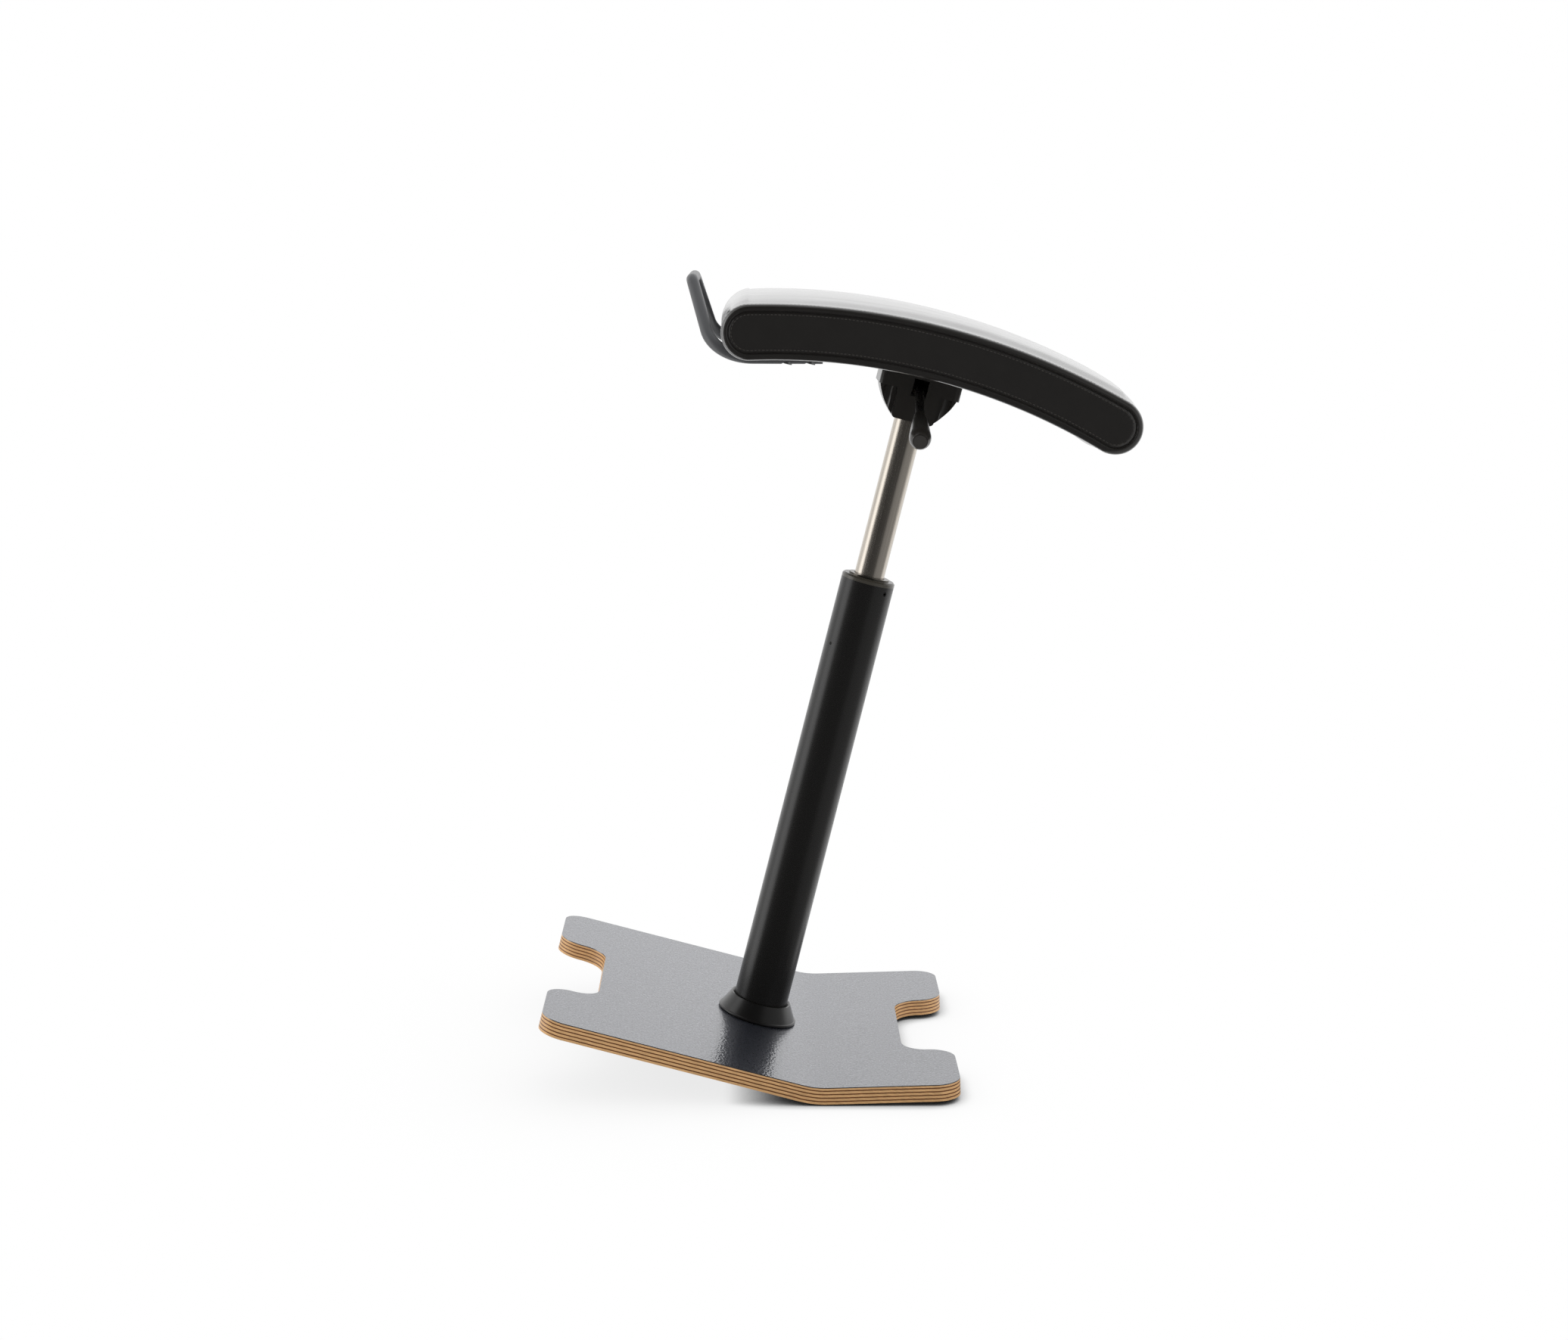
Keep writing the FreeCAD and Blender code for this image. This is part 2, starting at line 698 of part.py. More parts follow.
ball_spots = [(f"ball_circle * cos({45 * step})", f"ball_circle * sin({45 * step})")
              for step in range(8)]
pockets = draw_circles(new_sketch(cage, "ball_pockets", "XY_Plane", ball_level),
                       [(x, y, "ball_radius + 0.1") for x, y in ball_spots])
cut(cage, pockets, "10")
stand(cage)
balls = []
for index, (x, y) in enumerate(ball_spots):
    ball = doc.addObject("Part::Sphere", f"ball_{index}")
    bind(ball, Radius="ball_radius")
    ball.Placement.Base = Vector(size(x), size(y), size(ball_level))
    balls.append(stand(ball))
keep(group("bearing_balls", balls))
upper_race = keep(stand(turned_body("upper_race", ring_corners(
    "rod_radius", "race_radius", f"{BEARING_TOP} - race_thickness", BEARING_TOP))))
rubber_bumper = keep(stand(turned_body("rubber_bumper", ring_corners(
    "rod_radius", "bumper_radius", BEARING_TOP, f"{BEARING_TOP} + bumper_height"))))

# Pressure cylinder, its lower plug and the release pin

pressure_cylinder = keep(stand(turned_body("pressure_cylinder", [
    (CYLINDER_BORE, "cylinder_bottom"), ("cylinder_radius", "cylinder_bottom"),
    ("cylinder_radius", "housing_bottom"), ("taper_top_radius", "cylinder_top"),
    ("pin_radius + running_clearance / 2", "cylinder_top"),
    ("pin_radius + running_clearance / 2", "cylinder_top - cylinder_cap"),
    (CYLINDER_BORE, "cylinder_top - cylinder_cap")])))
rod_guide_plug = keep(stand(turned_body("rod_guide_plug", ring_corners(
    "rod_radius + running_clearance", CYLINDER_BORE, "cylinder_bottom",
    "cylinder_bottom + plug_height"))))
release_pin = keep(stand(turned_body("release_pin", [
    ("0", f"{PIN_TOP} - pin_stem"), ("pin_radius", f"{PIN_TOP} - pin_stem"),
    ("pin_radius", f"{PIN_TOP} - pin_dome_height"), ("pin_dome_radius", PIN_TOP),
    ("0", PIN_TOP)])))

# Seat outline, shared by every piece of the seat

e_place = size("seat_end_place")
e_height = size("seat_end_height")
shift = size("seat_shift")


def arch_radii(top, bottom, end_radius, end_height):
    """Radii of the top and bottom arcs that touch both end circles."""
    rise = top - end_height
    drop = end_height - bottom
    upper = (e_place ** 2 + rise ** 2 - end_radius ** 2) / (2 * (rise - end_radius))
    lower = (e_place ** 2 + drop ** 2 - end_radius ** 2) / (2 * (end_radius - drop))
    return upper, lower


def seat_section(across, inset, crown):
    """The seat's side outline at a place across it, drawn in by inset, its top raised. The
    round ends grow by half the crown, so that the top rises evenly from end to end."""
    top = size("seat_top") - inset + crown
    bottom = size("seat_bottom") + inset
    end_radius = size("seat_end_radius") - inset + crown / 2
    end_height = e_height + crown / 2
    upper, lower = arch_radii(top, bottom, end_radius, end_height)
    upper_lean = math.atan2(e_place, end_height - top + upper)
    lower_lean = math.atan2(e_place, end_height - bottom + lower)

    def spot(x, z):
        return Vector(x + shift, across, z)

    def on_end(sign, angle):
        return spot(sign * (e_place + end_radius * math.cos(angle)),
                    end_height + end_radius * math.sin(angle))

    high = math.pi / 2 - upper_lean
    low = -math.pi / 2 - lower_lean
    middle = (high + low) / 2
    edges = [
        Part.Arc(on_end(-1, high), spot(0, top), on_end(1, high)).toShape(),
        Part.Arc(on_end(1, high), on_end(1, (high + middle) / 2), on_end(1, middle)).toShape(),
        Part.Arc(on_end(1, middle), on_end(1, (low + middle) / 2), on_end(1, low)).toShape(),
        Part.Arc(on_end(1, low), spot(0, bottom), on_end(-1, low)).toShape(),
        Part.Arc(on_end(-1, low), on_end(-1, (low + middle) / 2), on_end(-1, middle)).toShape(),
        Part.Arc(on_end(-1, middle), on_end(-1, (high + middle) / 2), on_end(-1, high)).toShape(),
    ]
    return Part.Wire(edges)


def cushion(inset):
    """The padded block, drawn in all round by inset: crowned top, softly rounded rims."""
    half = size("seat_half_width") - inset
    rim = size("rim_radius")
    crown = size("seat_crown")
    flat_half = half - rim
    stations = []
    for angle in (0, 30, 60, 90):
        turn = math.radians(angle)
        stations.append((flat_half + rim * math.cos(turn), rim * (1 - math.sin(turn)), 0.0))
    steps = 6
    for step in range(1, 2 * steps):
        place = flat_half * (1 - step / steps)
        stations.append((place, 0.0, crown * (1 - (place / flat_half) ** 2)))
    for place, drawn_in, rise in reversed(stations[:4]):
        stations.append((-place, drawn_in, rise))
    sections = [seat_section(place, inset + drawn_in, rise)
                for place, drawn_in, rise in stations]
    return Part.makeLoft(sections, True, True)


_, under_arch = arch_radii(size("seat_top"), size("seat_bottom"), size("seat_end_radius"),
                           e_height)


def arch_slab(low, high, half_length, half_width):
    """A slab that follows the seat's arched underside, between two heights above it."""
    centre_height = size("seat_bottom") - under_arch

    def corner(x, rise):
        radius = under_arch + rise
        return Vector(shift + x, -half_width,
                      centre_height + math.sqrt(radius * radius - x * x))

    edges = [
        Part.Arc(corner(-half_length, low), corner(0, low), corner(half_length, low)).toShape(),
        Part.LineSegment(corner(half_length, low), corner(half_length, high)).toShape(),
        Part.Arc(corner(half_length, high), corner(0, high),
                 corner(-half_length, high)).toShape(),
        Part.LineSegment(corner(-half_length, high), corner(-half_length, low)).toShape(),
    ]
    return Part.Face(Part.Wire(edges)).extrude(Vector(0, 2 * half_width, 0))


recess_depth = size("underside_recess")
cover_depth = size("underside_cover_thickness")
shell_low = recess_depth + cover_depth + size("shell_gap")
shell_high = shell_low + size("shell_thickness")
under_length = size(UNDERSIDE_HALF_LENGTH)
under_width = size(UNDERSIDE_HALF_WIDTH)

outer_block = cushion(0.0)
inner_block = cushion(size("leather_thickness"))
underside_room = arch_slab(-40, recess_depth, under_length, under_width)
underside_solid = arch_slab(recess_depth, recess_depth + cover_depth, under_length, under_width)
shell_solid = arch_slab(shell_low, shell_high, size(SHELL_HALF_LENGTH),
                        size(SHELL_HALF_WIDTH))
below_shell = arch_slab(-40, shell_low, under_length, under_width)
panel_half = size("seat_half_width")
panel_inset = size("side_band")
panel_depth = size("leather_thickness")


def side_panel(sign):
    outline = seat_section(sign * panel_half, panel_inset, 0.0)
    return Part.Face(outline).extrude(Vector(0, -sign * panel_depth, 0))


panels = {"left": side_panel(1), "right": side_panel(-1)}
leather = outer_block.cut(inner_block)
leather = leather.cut(Part.makeCompound([underside_room, underside_solid]))
leather = leather.cut(shell_solid)
for panel in panels.values():
    leather = leather.cut(panel)
foam = inner_block.cut(below_shell).cut(shell_solid)

# Lever housing

lever_housing = keep(new_body("lever_housing"))
half_l = "housing_half_length"
step_side = draw(new_sketch(lever_housing, "housing_block", "XY_Plane", "housing_step"), [
    (f"{half_l} - housing_corner_radius", "-housing_half_width"),
    (half_l, "-housing_half_width + housing_corner_radius", "housing_corner_radius"),
    (half_l, "housing_half_width - housing_corner_radius"),
    (f"{half_l} - housing_corner_radius", "housing_half_width", "housing_corner_radius"),
    (f"-{half_l} + housing_corner_radius", "housing_half_width"),
    (f"-{half_l}", "housing_half_width - housing_corner_radius", "housing_corner_radius"),
    (f"-{half_l}", "-housing_half_width + housing_corner_radius"),
    (f"-{half_l} + housing_corner_radius", "-housing_half_width", "housing_corner_radius")])
pad(lever_housing, step_side, "seat_bottom + underside_recess - housing_step",
    both_sides=False)
gussets = draw(new_sketch(lever_housing, "gussets", "XZ_Plane"), [
    ("-gusset_foot_half_length", "housing_bottom", "gusset_curve_radius"),
    ("gusset_foot_half_length", "housing_bottom"),
    (f"{half_l} - 1.5", "housing_step", "gusset_curve_radius"),
    (f"1.5 - {half_l}", "housing_step")])
pad(lever_housing, gussets, "2 * gusset_half_width")
boss = draw(new_sketch(lever_housing, "boss", "XZ_Plane"), [
    ("-boss_half_length + 4", "housing_bottom", "4"), ("boss_half_length - 4", "housing_bottom"),
    ("boss_half_length", "housing_bottom + 4", "4"), ("boss_half_length", "housing_step"),
    ("-boss_half_length", "housing_step"), ("-boss_half_length", "housing_bottom + 4")])
pad(lever_housing, boss, "2 * boss_half_width")
doc.recompute()
housing_blank = lever_housing.Shape.copy()
lever_housing.Label = "lever_housing_blank"
nodes.remove(lever_housing)

screw_places = [(sx * size("housing_screw_place"), sy * size("housing_screw_place"))
                for sx, sy in quarter]
housing_step = size("housing_step")
head_level = housing_step + size("housing_screw_head_height")


def upright_cylinder(radius, low, high, x=0.0, y=0.0):
    return Part.makeCylinder(radius, high - low, Vector(x, y, low), Vector(0, 0, 1))


taper_room = Part.makeCone(
    size("cylinder_radius"), size("taper_top_radius"),
    size("cylinder_top - housing_bottom"), Vector(0, 0, size("housing_bottom")))
window_room = Part.makeBox(
    size("2 * window_half_width"), size("window_depth + 10"), size("window_top - window_bottom"),
    Vector(size("-window_half_width"), size("-housing_half_width - 10"), size("window_bottom")))
lever_room = Part.makeBox(
    size("2 * room_half_width"), size("housing_half_width - window_depth + room_end"),
    size("room_top - room_bottom"),
    Vector(size("-room_half_width"), size("window_depth - housing_half_width"),
           size("room_bottom")))
lever_x = Vector(1, 0, 0)
pivot_height = size("lever_tip_height + (lever_reach - pivot_place) * tan(lever_slope)")
pivot_start = Vector(-size("pivot_half_length"), -size("pivot_place"), pivot_height)
pivot_solid = Part.makeCylinder(size("pivot_radius"), size("2 * pivot_half_length"),
                                pivot_start, lever_x)
housing_cuts = [taper_room, window_room, lever_room, pivot_solid,
                upright_cylinder(size("taper_top_radius"), size("cylinder_top - 1"),
                                 size("cylinder_top + 4")),
                arch_slab(recess_depth, 60, 100, 100)]
for x, y in screw_places:
    housing_cuts.append(upright_cylinder(size("housing_screw_radius"), housing_step - 5,
                                         housing_step + 60, x, y))
    housing_cuts.append(upright_cylinder(size("housing_screw_head_radius"), housing_step - 30,
                                         head_level, x, y))
housing_solid = housing_blank
for tool in housing_cuts:
    housing_solid = housing_solid.cut(tool)
lever_housing = keep(stand(shape_node("lever_housing_cut", housing_solid)))
lever_housing.Label = "lever_housing"
keep(stand(shape_node("lever_pivot", pivot_solid)))

# Screws from the housing into flanged nuts in the seat shell

shell_top_low = size("seat_bottom") + shell_high - 6
screw_top = size("seat_bottom") + shell_high + 1.5
screw_shapes = []
nut_shapes = []
shell_cuts = []
foam_cuts = []
nut_radius = size("nut_radius")
nut_flange = size("nut_flange_radius")
nut_thick = size("nut_flange_thickness")
screw_radius = size("housing_screw_radius")
for x, y in screw_places:
    head = upright_cylinder(size("housing_screw_head_radius") - 0.2, head_level - 3.5,
                            head_level, x, y)
    shank = upright_cylinder(screw_radius, head_level, screw_top - 1.5, x, y)
    screw_shapes.append(head.fuse(shank))
    nut = upright_cylinder(nut_radius, shell_top_low - 1, screw_top, x, y)
    nut = nut.fuse(upright_cylinder(nut_flange, screw_top, screw_top + nut_thick, x, y))
    nut_shapes.append(nut.cut(upright_cylinder(screw_radius, 0, screw_top - 1.5, x, y)))
    shell_cuts.append(upright_cylinder(screw_radius, housing_step, screw_top, x, y))
    shell_cuts.append(upright_cylinder(nut_radius, shell_top_low - 1, screw_top + nut_thick,
                                       x, y))
    foam_cuts.append(upright_cylinder(nut_flange, shell_top_low - 1, screw_top + nut_thick,
                                      x, y))
keep(stand(shape_node("housing_screws", Part.makeCompound(screw_shapes))))
keep(stand(shape_node("seat_nuts", Part.makeCompound(nut_shapes))))

# Handle bar: a crossbar, two splayed arms and two runs under the seat

def underside_height(x):
    """Height of the recessed underside at a place along the seat."""
    radius = under_arch + recess_depth
    return size("seat_bottom") - under_arch + math.sqrt(radius ** 2 - (x - shift) ** 2)


# The run under the seat is straight: it nearly touches the underside at its end, and slopes
# down from there to the foot of an arm
bar_radius = size("bar_radius")
end_x = -size("bar_end_place")
foot_x = -size("bar_foot_place")
end_z = underside_height(end_x) - size("bar_radius + bar_gap")


def run_height(x):
    """Height of a run's centre line at a place along it."""
    return end_z + (x - end_x) * size("bar_slope")


def bar_route():
    top = size("bar_top_half_width")
    foot = size(BAR_FOOT_HALF_WIDTH)
    top_x = -size("bar_top_place")
    top_z = size("bar_top_height")
    half = [(Vector(top_x, top, top_z), size("bar_top_bend")),
            (Vector(foot_x, foot, run_height(foot_x)), size("bar_foot_bend")),
            (Vector(end_x, foot, end_z), 0.0)]
    mirrored = [(Vector(p.x, -p.y, p.z), r) for p, r in half]
    return list(reversed(mirrored)) + half


def rounded_path(route):
    """Straight runs with an arc of its own radius at each inner point."""
    edges = []
    start = route[0][0]
    for index in range(1, len(route) - 1):
        point, radius = route[index]
        before = (route[index - 1][0] - point).normalize()
        after = (route[index + 1][0] - point).normalize()
        half_turn = (math.pi - before.getAngle(after)) / 2
        reach = radius * math.tan(half_turn)
        enter = point + before * reach
        leave = point + after * reach
        inward = (before + after).normalize()
        middle = point + inward * (radius / math.cos(half_turn) - radius)
        edges.append(Part.LineSegment(start, enter).toShape())
        edges.append(Part.Arc(enter, middle, leave).toShape())
        start = leave
    edges.append(Part.LineSegment(start, route[-1][0]).toShape())
    return Part.Wire(edges)


def bar_along_route(radius):
    route = bar_route()
    direction = (route[1][0] - route[0][0]).normalize()
    circle = Part.Wire([Part.makeCircle(radius, route[0][0], direction)])
    return rounded_path(route).makePipeShell([circle], True, False)


bar_solid = bar_along_route(bar_radius)
bar_channel = bar_along_route(bar_radius + size("bar_channel_gap"))

handle_screw_shapes = []
bar_cuts = []
for place in ("handle_screw_rear", "handle_screw_front"):
    for sign in (1, -1):
        x = -size(place)
        y = sign * size(BAR_FOOT_HALF_WIDTH)
        level = run_height(x)
        radius = size("handle_screw_radius")
        head_radius = size("handle_screw_head_radius")
        head_top = level - bar_radius + size("handle_screw_head_height")
        shank_top = level + bar_radius + shell_low - recess_depth + 8
        head = upright_cylinder(head_radius, head_top - 2.4, head_top, x, y)
        shank = upright_cylinder(radius, head_top, shank_top, x, y)
        handle_screw_shapes.append(head.fuse(shank))
        bar_cuts.append(upright_cylinder(radius, level - 30, level + 30, x, y))
        bar_cuts.append(upright_cylinder(head_radius + 0.1, level - 30, head_top, x, y))
        shell_cuts.append(upright_cylinder(radius, level - 30, shank_top, x, y))
for tool in bar_cuts:
    bar_solid = bar_solid.cut(tool)
keep(stand(shape_node("handle_bar", bar_solid)))
keep(stand(shape_node("handle_screws", Part.makeCompound(handle_screw_shapes))))

# Seat pieces

holes = Part.makeCompound(shell_cuts)
shell_solid = shell_solid.cut(holes)
underside_solid = underside_solid.cut(holes)
foam = foam.cut(Part.makeCompound(foam_cuts)).cut(bar_channel)
leather = leather.cut(bar_channel)
keep(stand(shape_node("seat_shell", shell_solid)))
keep(stand(shape_node("seat_foam", foam)))
keep(stand(shape_node("seat_cover", leather)))
keep(stand(shape_node("underside_cover", underside_solid)))
for side, panel in panels.items():
    keep(stand(shape_node("side_panel_" + side, panel)))

# Lever, drawn along its own slope from the tip inwards

tip = Vector(0, -size("lever_reach"), size("lever_tip_height"))
slope_angle = math.radians(size("lever_slope"))
inward = Vector(0, math.cos(slope_angle), math.sin(slope_angle))
lever_length = size("(lever_reach + lever_inner_reach) / cos(lever_slope)")
cap_depth = size("grip_cap_thickness")
rod_from = cap_depth
lever_solid = Part.makeCylinder(size("lever_radius"), lever_length - rod_from,
                                tip + inward * rod_from, inward)
pivot_bore = Part.makeCylinder(size("pivot_radius + running_clearance"), 40,
                               Vector(-20, -size("pivot_place"), pivot_height), lever_x)
lever_solid = lever_solid.cut(pivot_bore)
keep(stand(shape_node("lever_rod", lever_solid)))


grip_bore = size("lever_radius")
grip_start = size("grip_start")
grip_widest = size("grip_widest")
grip_radius = size("grip_radius")
grip_neck = size("grip_neck_radius")
grip_end = size("grip_end_radius")
spline = Part.BSplineCurve()
cap_front = size("grip_cap_proud")
spline.interpolate([
    Vector(grip_end, 0, cap_front), Vector(grip_end + 1.9, 0, cap_front + 3.5),
    Vector(grip_radius, 0, grip_widest), Vector((grip_radius + grip_neck) / 2, 0,
                                                (grip_widest + grip_start) / 2 + 4),
    Vector(grip_neck, 0, grip_start)])
grip_edges = [
    spline.toShape(),
    Part.LineSegment(Vector(grip_neck, 0, grip_start), Vector(grip_bore, 0, grip_start)).toShape(),
    Part.LineSegment(Vector(grip_bore, 0, grip_start), Vector(grip_bore, 0, cap_depth)).toShape(),
    Part.LineSegment(Vector(grip_bore, 0, cap_depth),
                     Vector(size("grip_cap_radius"), 0, cap_depth)).toShape(),
    Part.LineSegment(Vector(size("grip_cap_radius"), 0, cap_depth),
                     Vector(size("grip_cap_radius"), 0, cap_front)).toShape(),
    Part.LineSegment(Vector(size("grip_cap_radius"), 0, cap_front),
                     Vector(grip_end, 0, cap_front)).toShape(),
]
grip_solid = Part.Face(Part.Wire(grip_edges)).revolve(Vector(0, 0, 0), Vector(0, 0, 1), 360)
lever_frame = Placement(tip, Rotation(Vector(0, 0, 1), inward))
grip = shape_node("lever_grip", grip_solid)
grip.Placement = lever_frame
keep(stand(grip))
cap_solid = Part.makeCylinder(size("grip_cap_radius"), cap_depth)
cap = shape_node("grip_cap", cap_solid)
cap.Placement = lever_frame
keep(stand(cap))

# Check every object, then write one file for each piece

doc.recompute()
for item in doc.Objects:
    if "Invalid" in item.State or "Error" in item.State:
        raise RuntimeError(f"{item.Name} is {item.State}")
os.makedirs("parts", exist_ok=True)
for item in nodes:
    shape = item.Shape
    if shape.isNull() or not shape.isValid() or not shape.Solids:
        raise RuntimeError(f"{item.Label} has no valid solid")
    shape.exportStep(os.path.join("parts", item.Label + ".step"))
    box = shape.BoundBox
    print(f"{item.Label:20s} solids {len(shape.Solids)} volume {shape.Volume:10.1f}"
          f" z {box.ZMin:7.2f} {box.ZMax:7.2f}")
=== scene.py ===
"""Perch stool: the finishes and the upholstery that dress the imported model, and its studio."""

import math

import bpy
from bpy.props import FloatProperty, FloatVectorProperty, IntProperty, PointerProperty
from mathutils import Matrix, Vector, kdtree, noise


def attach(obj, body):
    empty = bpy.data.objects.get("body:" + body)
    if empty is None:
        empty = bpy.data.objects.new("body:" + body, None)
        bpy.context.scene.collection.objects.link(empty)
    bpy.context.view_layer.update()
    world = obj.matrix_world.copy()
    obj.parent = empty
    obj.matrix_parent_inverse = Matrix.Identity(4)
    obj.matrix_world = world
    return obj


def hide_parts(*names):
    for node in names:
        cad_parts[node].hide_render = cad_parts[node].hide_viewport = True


bl_info = {
    "name": "Perch stool dressing",
    "version": (1, 0, 0),
    "blender": (4, 5, 0),
    "location": "View3D > Sidebar > Perch stool",
    "description": "Upholsters the perch stool, gives each piece its finish and sets up its studio",
    "category": "Object",
}

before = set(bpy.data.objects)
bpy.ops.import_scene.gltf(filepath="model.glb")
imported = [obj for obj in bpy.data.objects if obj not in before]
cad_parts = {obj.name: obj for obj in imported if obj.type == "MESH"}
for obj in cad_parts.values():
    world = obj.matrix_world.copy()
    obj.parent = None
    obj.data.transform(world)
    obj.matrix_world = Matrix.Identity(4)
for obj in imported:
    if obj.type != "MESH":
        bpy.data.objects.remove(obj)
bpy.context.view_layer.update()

MM = 0.001

# The stool leans on its ridge. Upright, its own frame starts where the column's axis meets the
# top of the board, at COLUMN_FOOT; the bend of the board is an arc about BEND_CENTRE.
LEAN_ANGLE = math.radians(14.4)
BEND_ANGLE = math.radians(16.0)
BEND_CENTRE = Vector((0.0, 0.0, 96.0)) * MM
COLUMN_FOOT = Vector((-58.929, 0.0, 28.535)) * MM
LEAN = Matrix.Translation(COLUMN_FOOT) @ Matrix.Rotation(LEAN_ANGLE, 4, "Y")

# The photograph's size in pixels, which the camera's shift is measured in.
PHOTO_WIDTH = 2072
PHOTO_HEIGHT = 1771


# Sizes and colours that a user may change

class SeatPadSizes(bpy.types.PropertyGroup):
    """Sizes of the upholstered seat, in millimetres."""
    shift: FloatProperty(
        name="Shift", default=-2.9,
        description="How far the pad's middle lies ahead of the column's axis, in mm")
    half_width: FloatProperty(
        name="Half width", default=175.0, min=100.0,
        description="From the middle to the face of a side panel, in mm")
    end_place: FloatProperty(
        name="End place", default=164.8, min=80.0,
        description="From the pad's middle to the centre of a round end, in mm")
    end_height: FloatProperty(
        name="End height", default=621.7,
        description="Height of a round end's centre above the board, in mm")
    end_radius: FloatProperty(
        name="End radius", default=24.5, min=10.0,
        description="Radius of the two round ends, in mm")
    top: FloatProperty(
        name="Top", default=668.9, description="Height of the side outline's upper arc, in mm")
    bottom: FloatProperty(
        name="Bottom", default=621.2, description="Height of the side outline's lower arc, in mm")
    crown: FloatProperty(
        name="Crown", default=7.4, min=0.0,
        description="Rise of the top between its two side seams before it is filled, in mm")
    recess: FloatProperty(
        name="Underside recess", default=7.5, min=0.0,
        description="How far the lining lies above the rim of the cover, in mm")
    recess_half_length: FloatProperty(
        name="Recess half length", default=152.0, description="Half the lining's length, in mm")
    recess_half_width: FloatProperty(
        name="Recess half width", default=166.0, description="Half the lining's width, in mm")
    stitch_pitch: FloatProperty(
        name="Stitch pitch", default=3.4, min=1.0, description="From stitch to stitch, in mm")
    thread_radius: FloatProperty(
        name="Thread radius", default=0.32, min=0.1, description="Radius of the thread, in mm")
    fill_cap: FloatProperty(
        name="Fill cap", default=5.0, min=0.0,
        description="How far the filling may push the leather out, in mm")
    fill_pressure: FloatProperty(
        name="Fill pressure", default=4.0, min=0.0, description="Pressure of the filling")
    fill_rise: FloatProperty(
        name="Fill rise", default=2.2, min=0.0,
        description="How far the filling lifts the middle of the seat, in mm")
    fill_forward: FloatProperty(
        name="Fill forward", default=0.45, min=0.0, max=1.0,
        description="How much fuller the front of the seat is than its middle")


class BoardSizes(bpy.types.PropertyGroup):
    """Sizes of the bent board, in millimetres."""
    inner_radius: FloatProperty(
        name="Bend radius", default=80.0, description="Radius of the laminate's upper face, in mm")
    laminate: FloatProperty(
        name="Laminate", default=0.8, description="Thickness of the black laminate, in mm")
    plywood: FloatProperty(
        name="Plywood", default=13.7, description="Thickness of the plywood, in mm")
    plies: IntProperty(
        name="Plies", default=9, min=3, description="How many plies the board's edge shows")


class StudioSizes(bpy.types.PropertyGroup):
    """Where the camera stands and how far the floor reaches, in metres."""
    camera_x: FloatProperty(name="Camera X", default=-0.0696, unit="LENGTH",
                            description="Place of the camera along X")
    distance: FloatProperty(name="Distance", default=2.5, unit="LENGTH",
                            description="From the camera to the column")
    height: FloatProperty(name="Height", default=0.7807, unit="LENGTH",
                          description="Height of the level camera above the floor")
    lens: FloatProperty(name="Lens", default=61.46, description="Focal length in mm on 36 mm")
    centre_u: FloatProperty(name="Centre across", default=985.0,
                            description="Pixel column that the camera faces, of 2072")
    centre_v: FloatProperty(name="Centre down", default=275.0,
                            description="Pixel row that the camera faces, of 1771")
    floor: FloatProperty(name="Floor", default=14.0, unit="LENGTH",
                         description="Side of the square floor")


def colour_property(name, hex_value, description):
    return FloatVectorProperty(name=name, subtype="COLOR_GAMMA", size=3, min=0.0, max=1.0,
                               default=srgb(hex_value), description=description)


def srgb(hex_value):
    """The three parts of a hex colour, 0 to 1, as written."""
    return tuple(int(hex_value[place:place + 2], 16) / 255 for place in (1, 3, 5))


class FinishColours(bpy.types.PropertyGroup):
    """Colours of the finishes, as sRGB."""
    leather: colour_property("Leather", "#23201d", "Dyed black leather")
    thread: colour_property("Thread", "#45413c", "Polyester sewing thread")
    lining: colour_property("Lining", "#1d1b1a", "Woven lining under the seat")
    light_ply: colour_property("Light ply", "#f8c487", "Plies with the grain along the edge")
    dark_ply: colour_property("Dark ply", "#74400f", "Plies cut across the grain")
    laminate: colour_property("Laminate", "#2c2e33", "High pressure laminate")
    powder_coat: colour_property("Powder coat", "#1f1e1d", "Satin powder coat of the tube")
    handle: colour_property("Handle", "#57585a", "Grey powder coat of the handle")
    collar: colour_property("Collar", "#161514", "Moulded nylon of the collar")
    moulding: colour_property("Moulding", "#2d2a26", "Moulded nylon of the housing and grip")
    bush: colour_property("Bush", "#4a463e", "Moulded acetal of the guide bush")
    grip_cap: colour_property("Grip cap", "#42403d", "Moulded cap of the lever's grip")
    nickel: colour_property("Nickel", "#d3cbc0", "Brushed nickel plate of the cylinder")


# Small helpers

def linear(colour):
    """An sRGB colour, as a hex value or three parts, as linear RGBA."""
    parts = srgb(colour) if isinstance(colour, str) else colour
    return tuple(part / 12.92 if part <= 0.04045 else ((part + 0.055) / 1.055) ** 2.4
                 for part in parts) + (1.0,)


def add_node(tree, kind, inputs=None, **settings):
    """Add a shader node; inputs are values or sockets to link, by name or number."""
    node = tree.nodes.new(kind)
    for name, value in settings.items():
        setattr(node, name, value)
    for name, value in (inputs or {}).items():
        if isinstance(value, bpy.types.NodeSocket):
            tree.links.new(value, node.inputs[name])
        else:
            node.inputs[name].default_value = value
    return node


def per_metre(millimetres):
    """Texture scale whose features are about this size."""
    return 1.0 / (millimetres * MM)


def add_maths(tree, operation, *values):
    """One step of arithmetic on numbers or sockets."""
    return add_node(tree, "ShaderNodeMath", dict(enumerate(values)),
                    operation=operation).outputs["Value"]


def add_range(tree, value, low, high, from_low=0.0, from_high=1.0, **settings):
    """Carry a value from one range over to another."""
    return add_node(tree, "ShaderNodeMapRange",
                    {"Value": value, "From Min": from_low, "From Max": from_high,
                     "To Min": low, "To Max": high}, **settings).outputs["Result"]


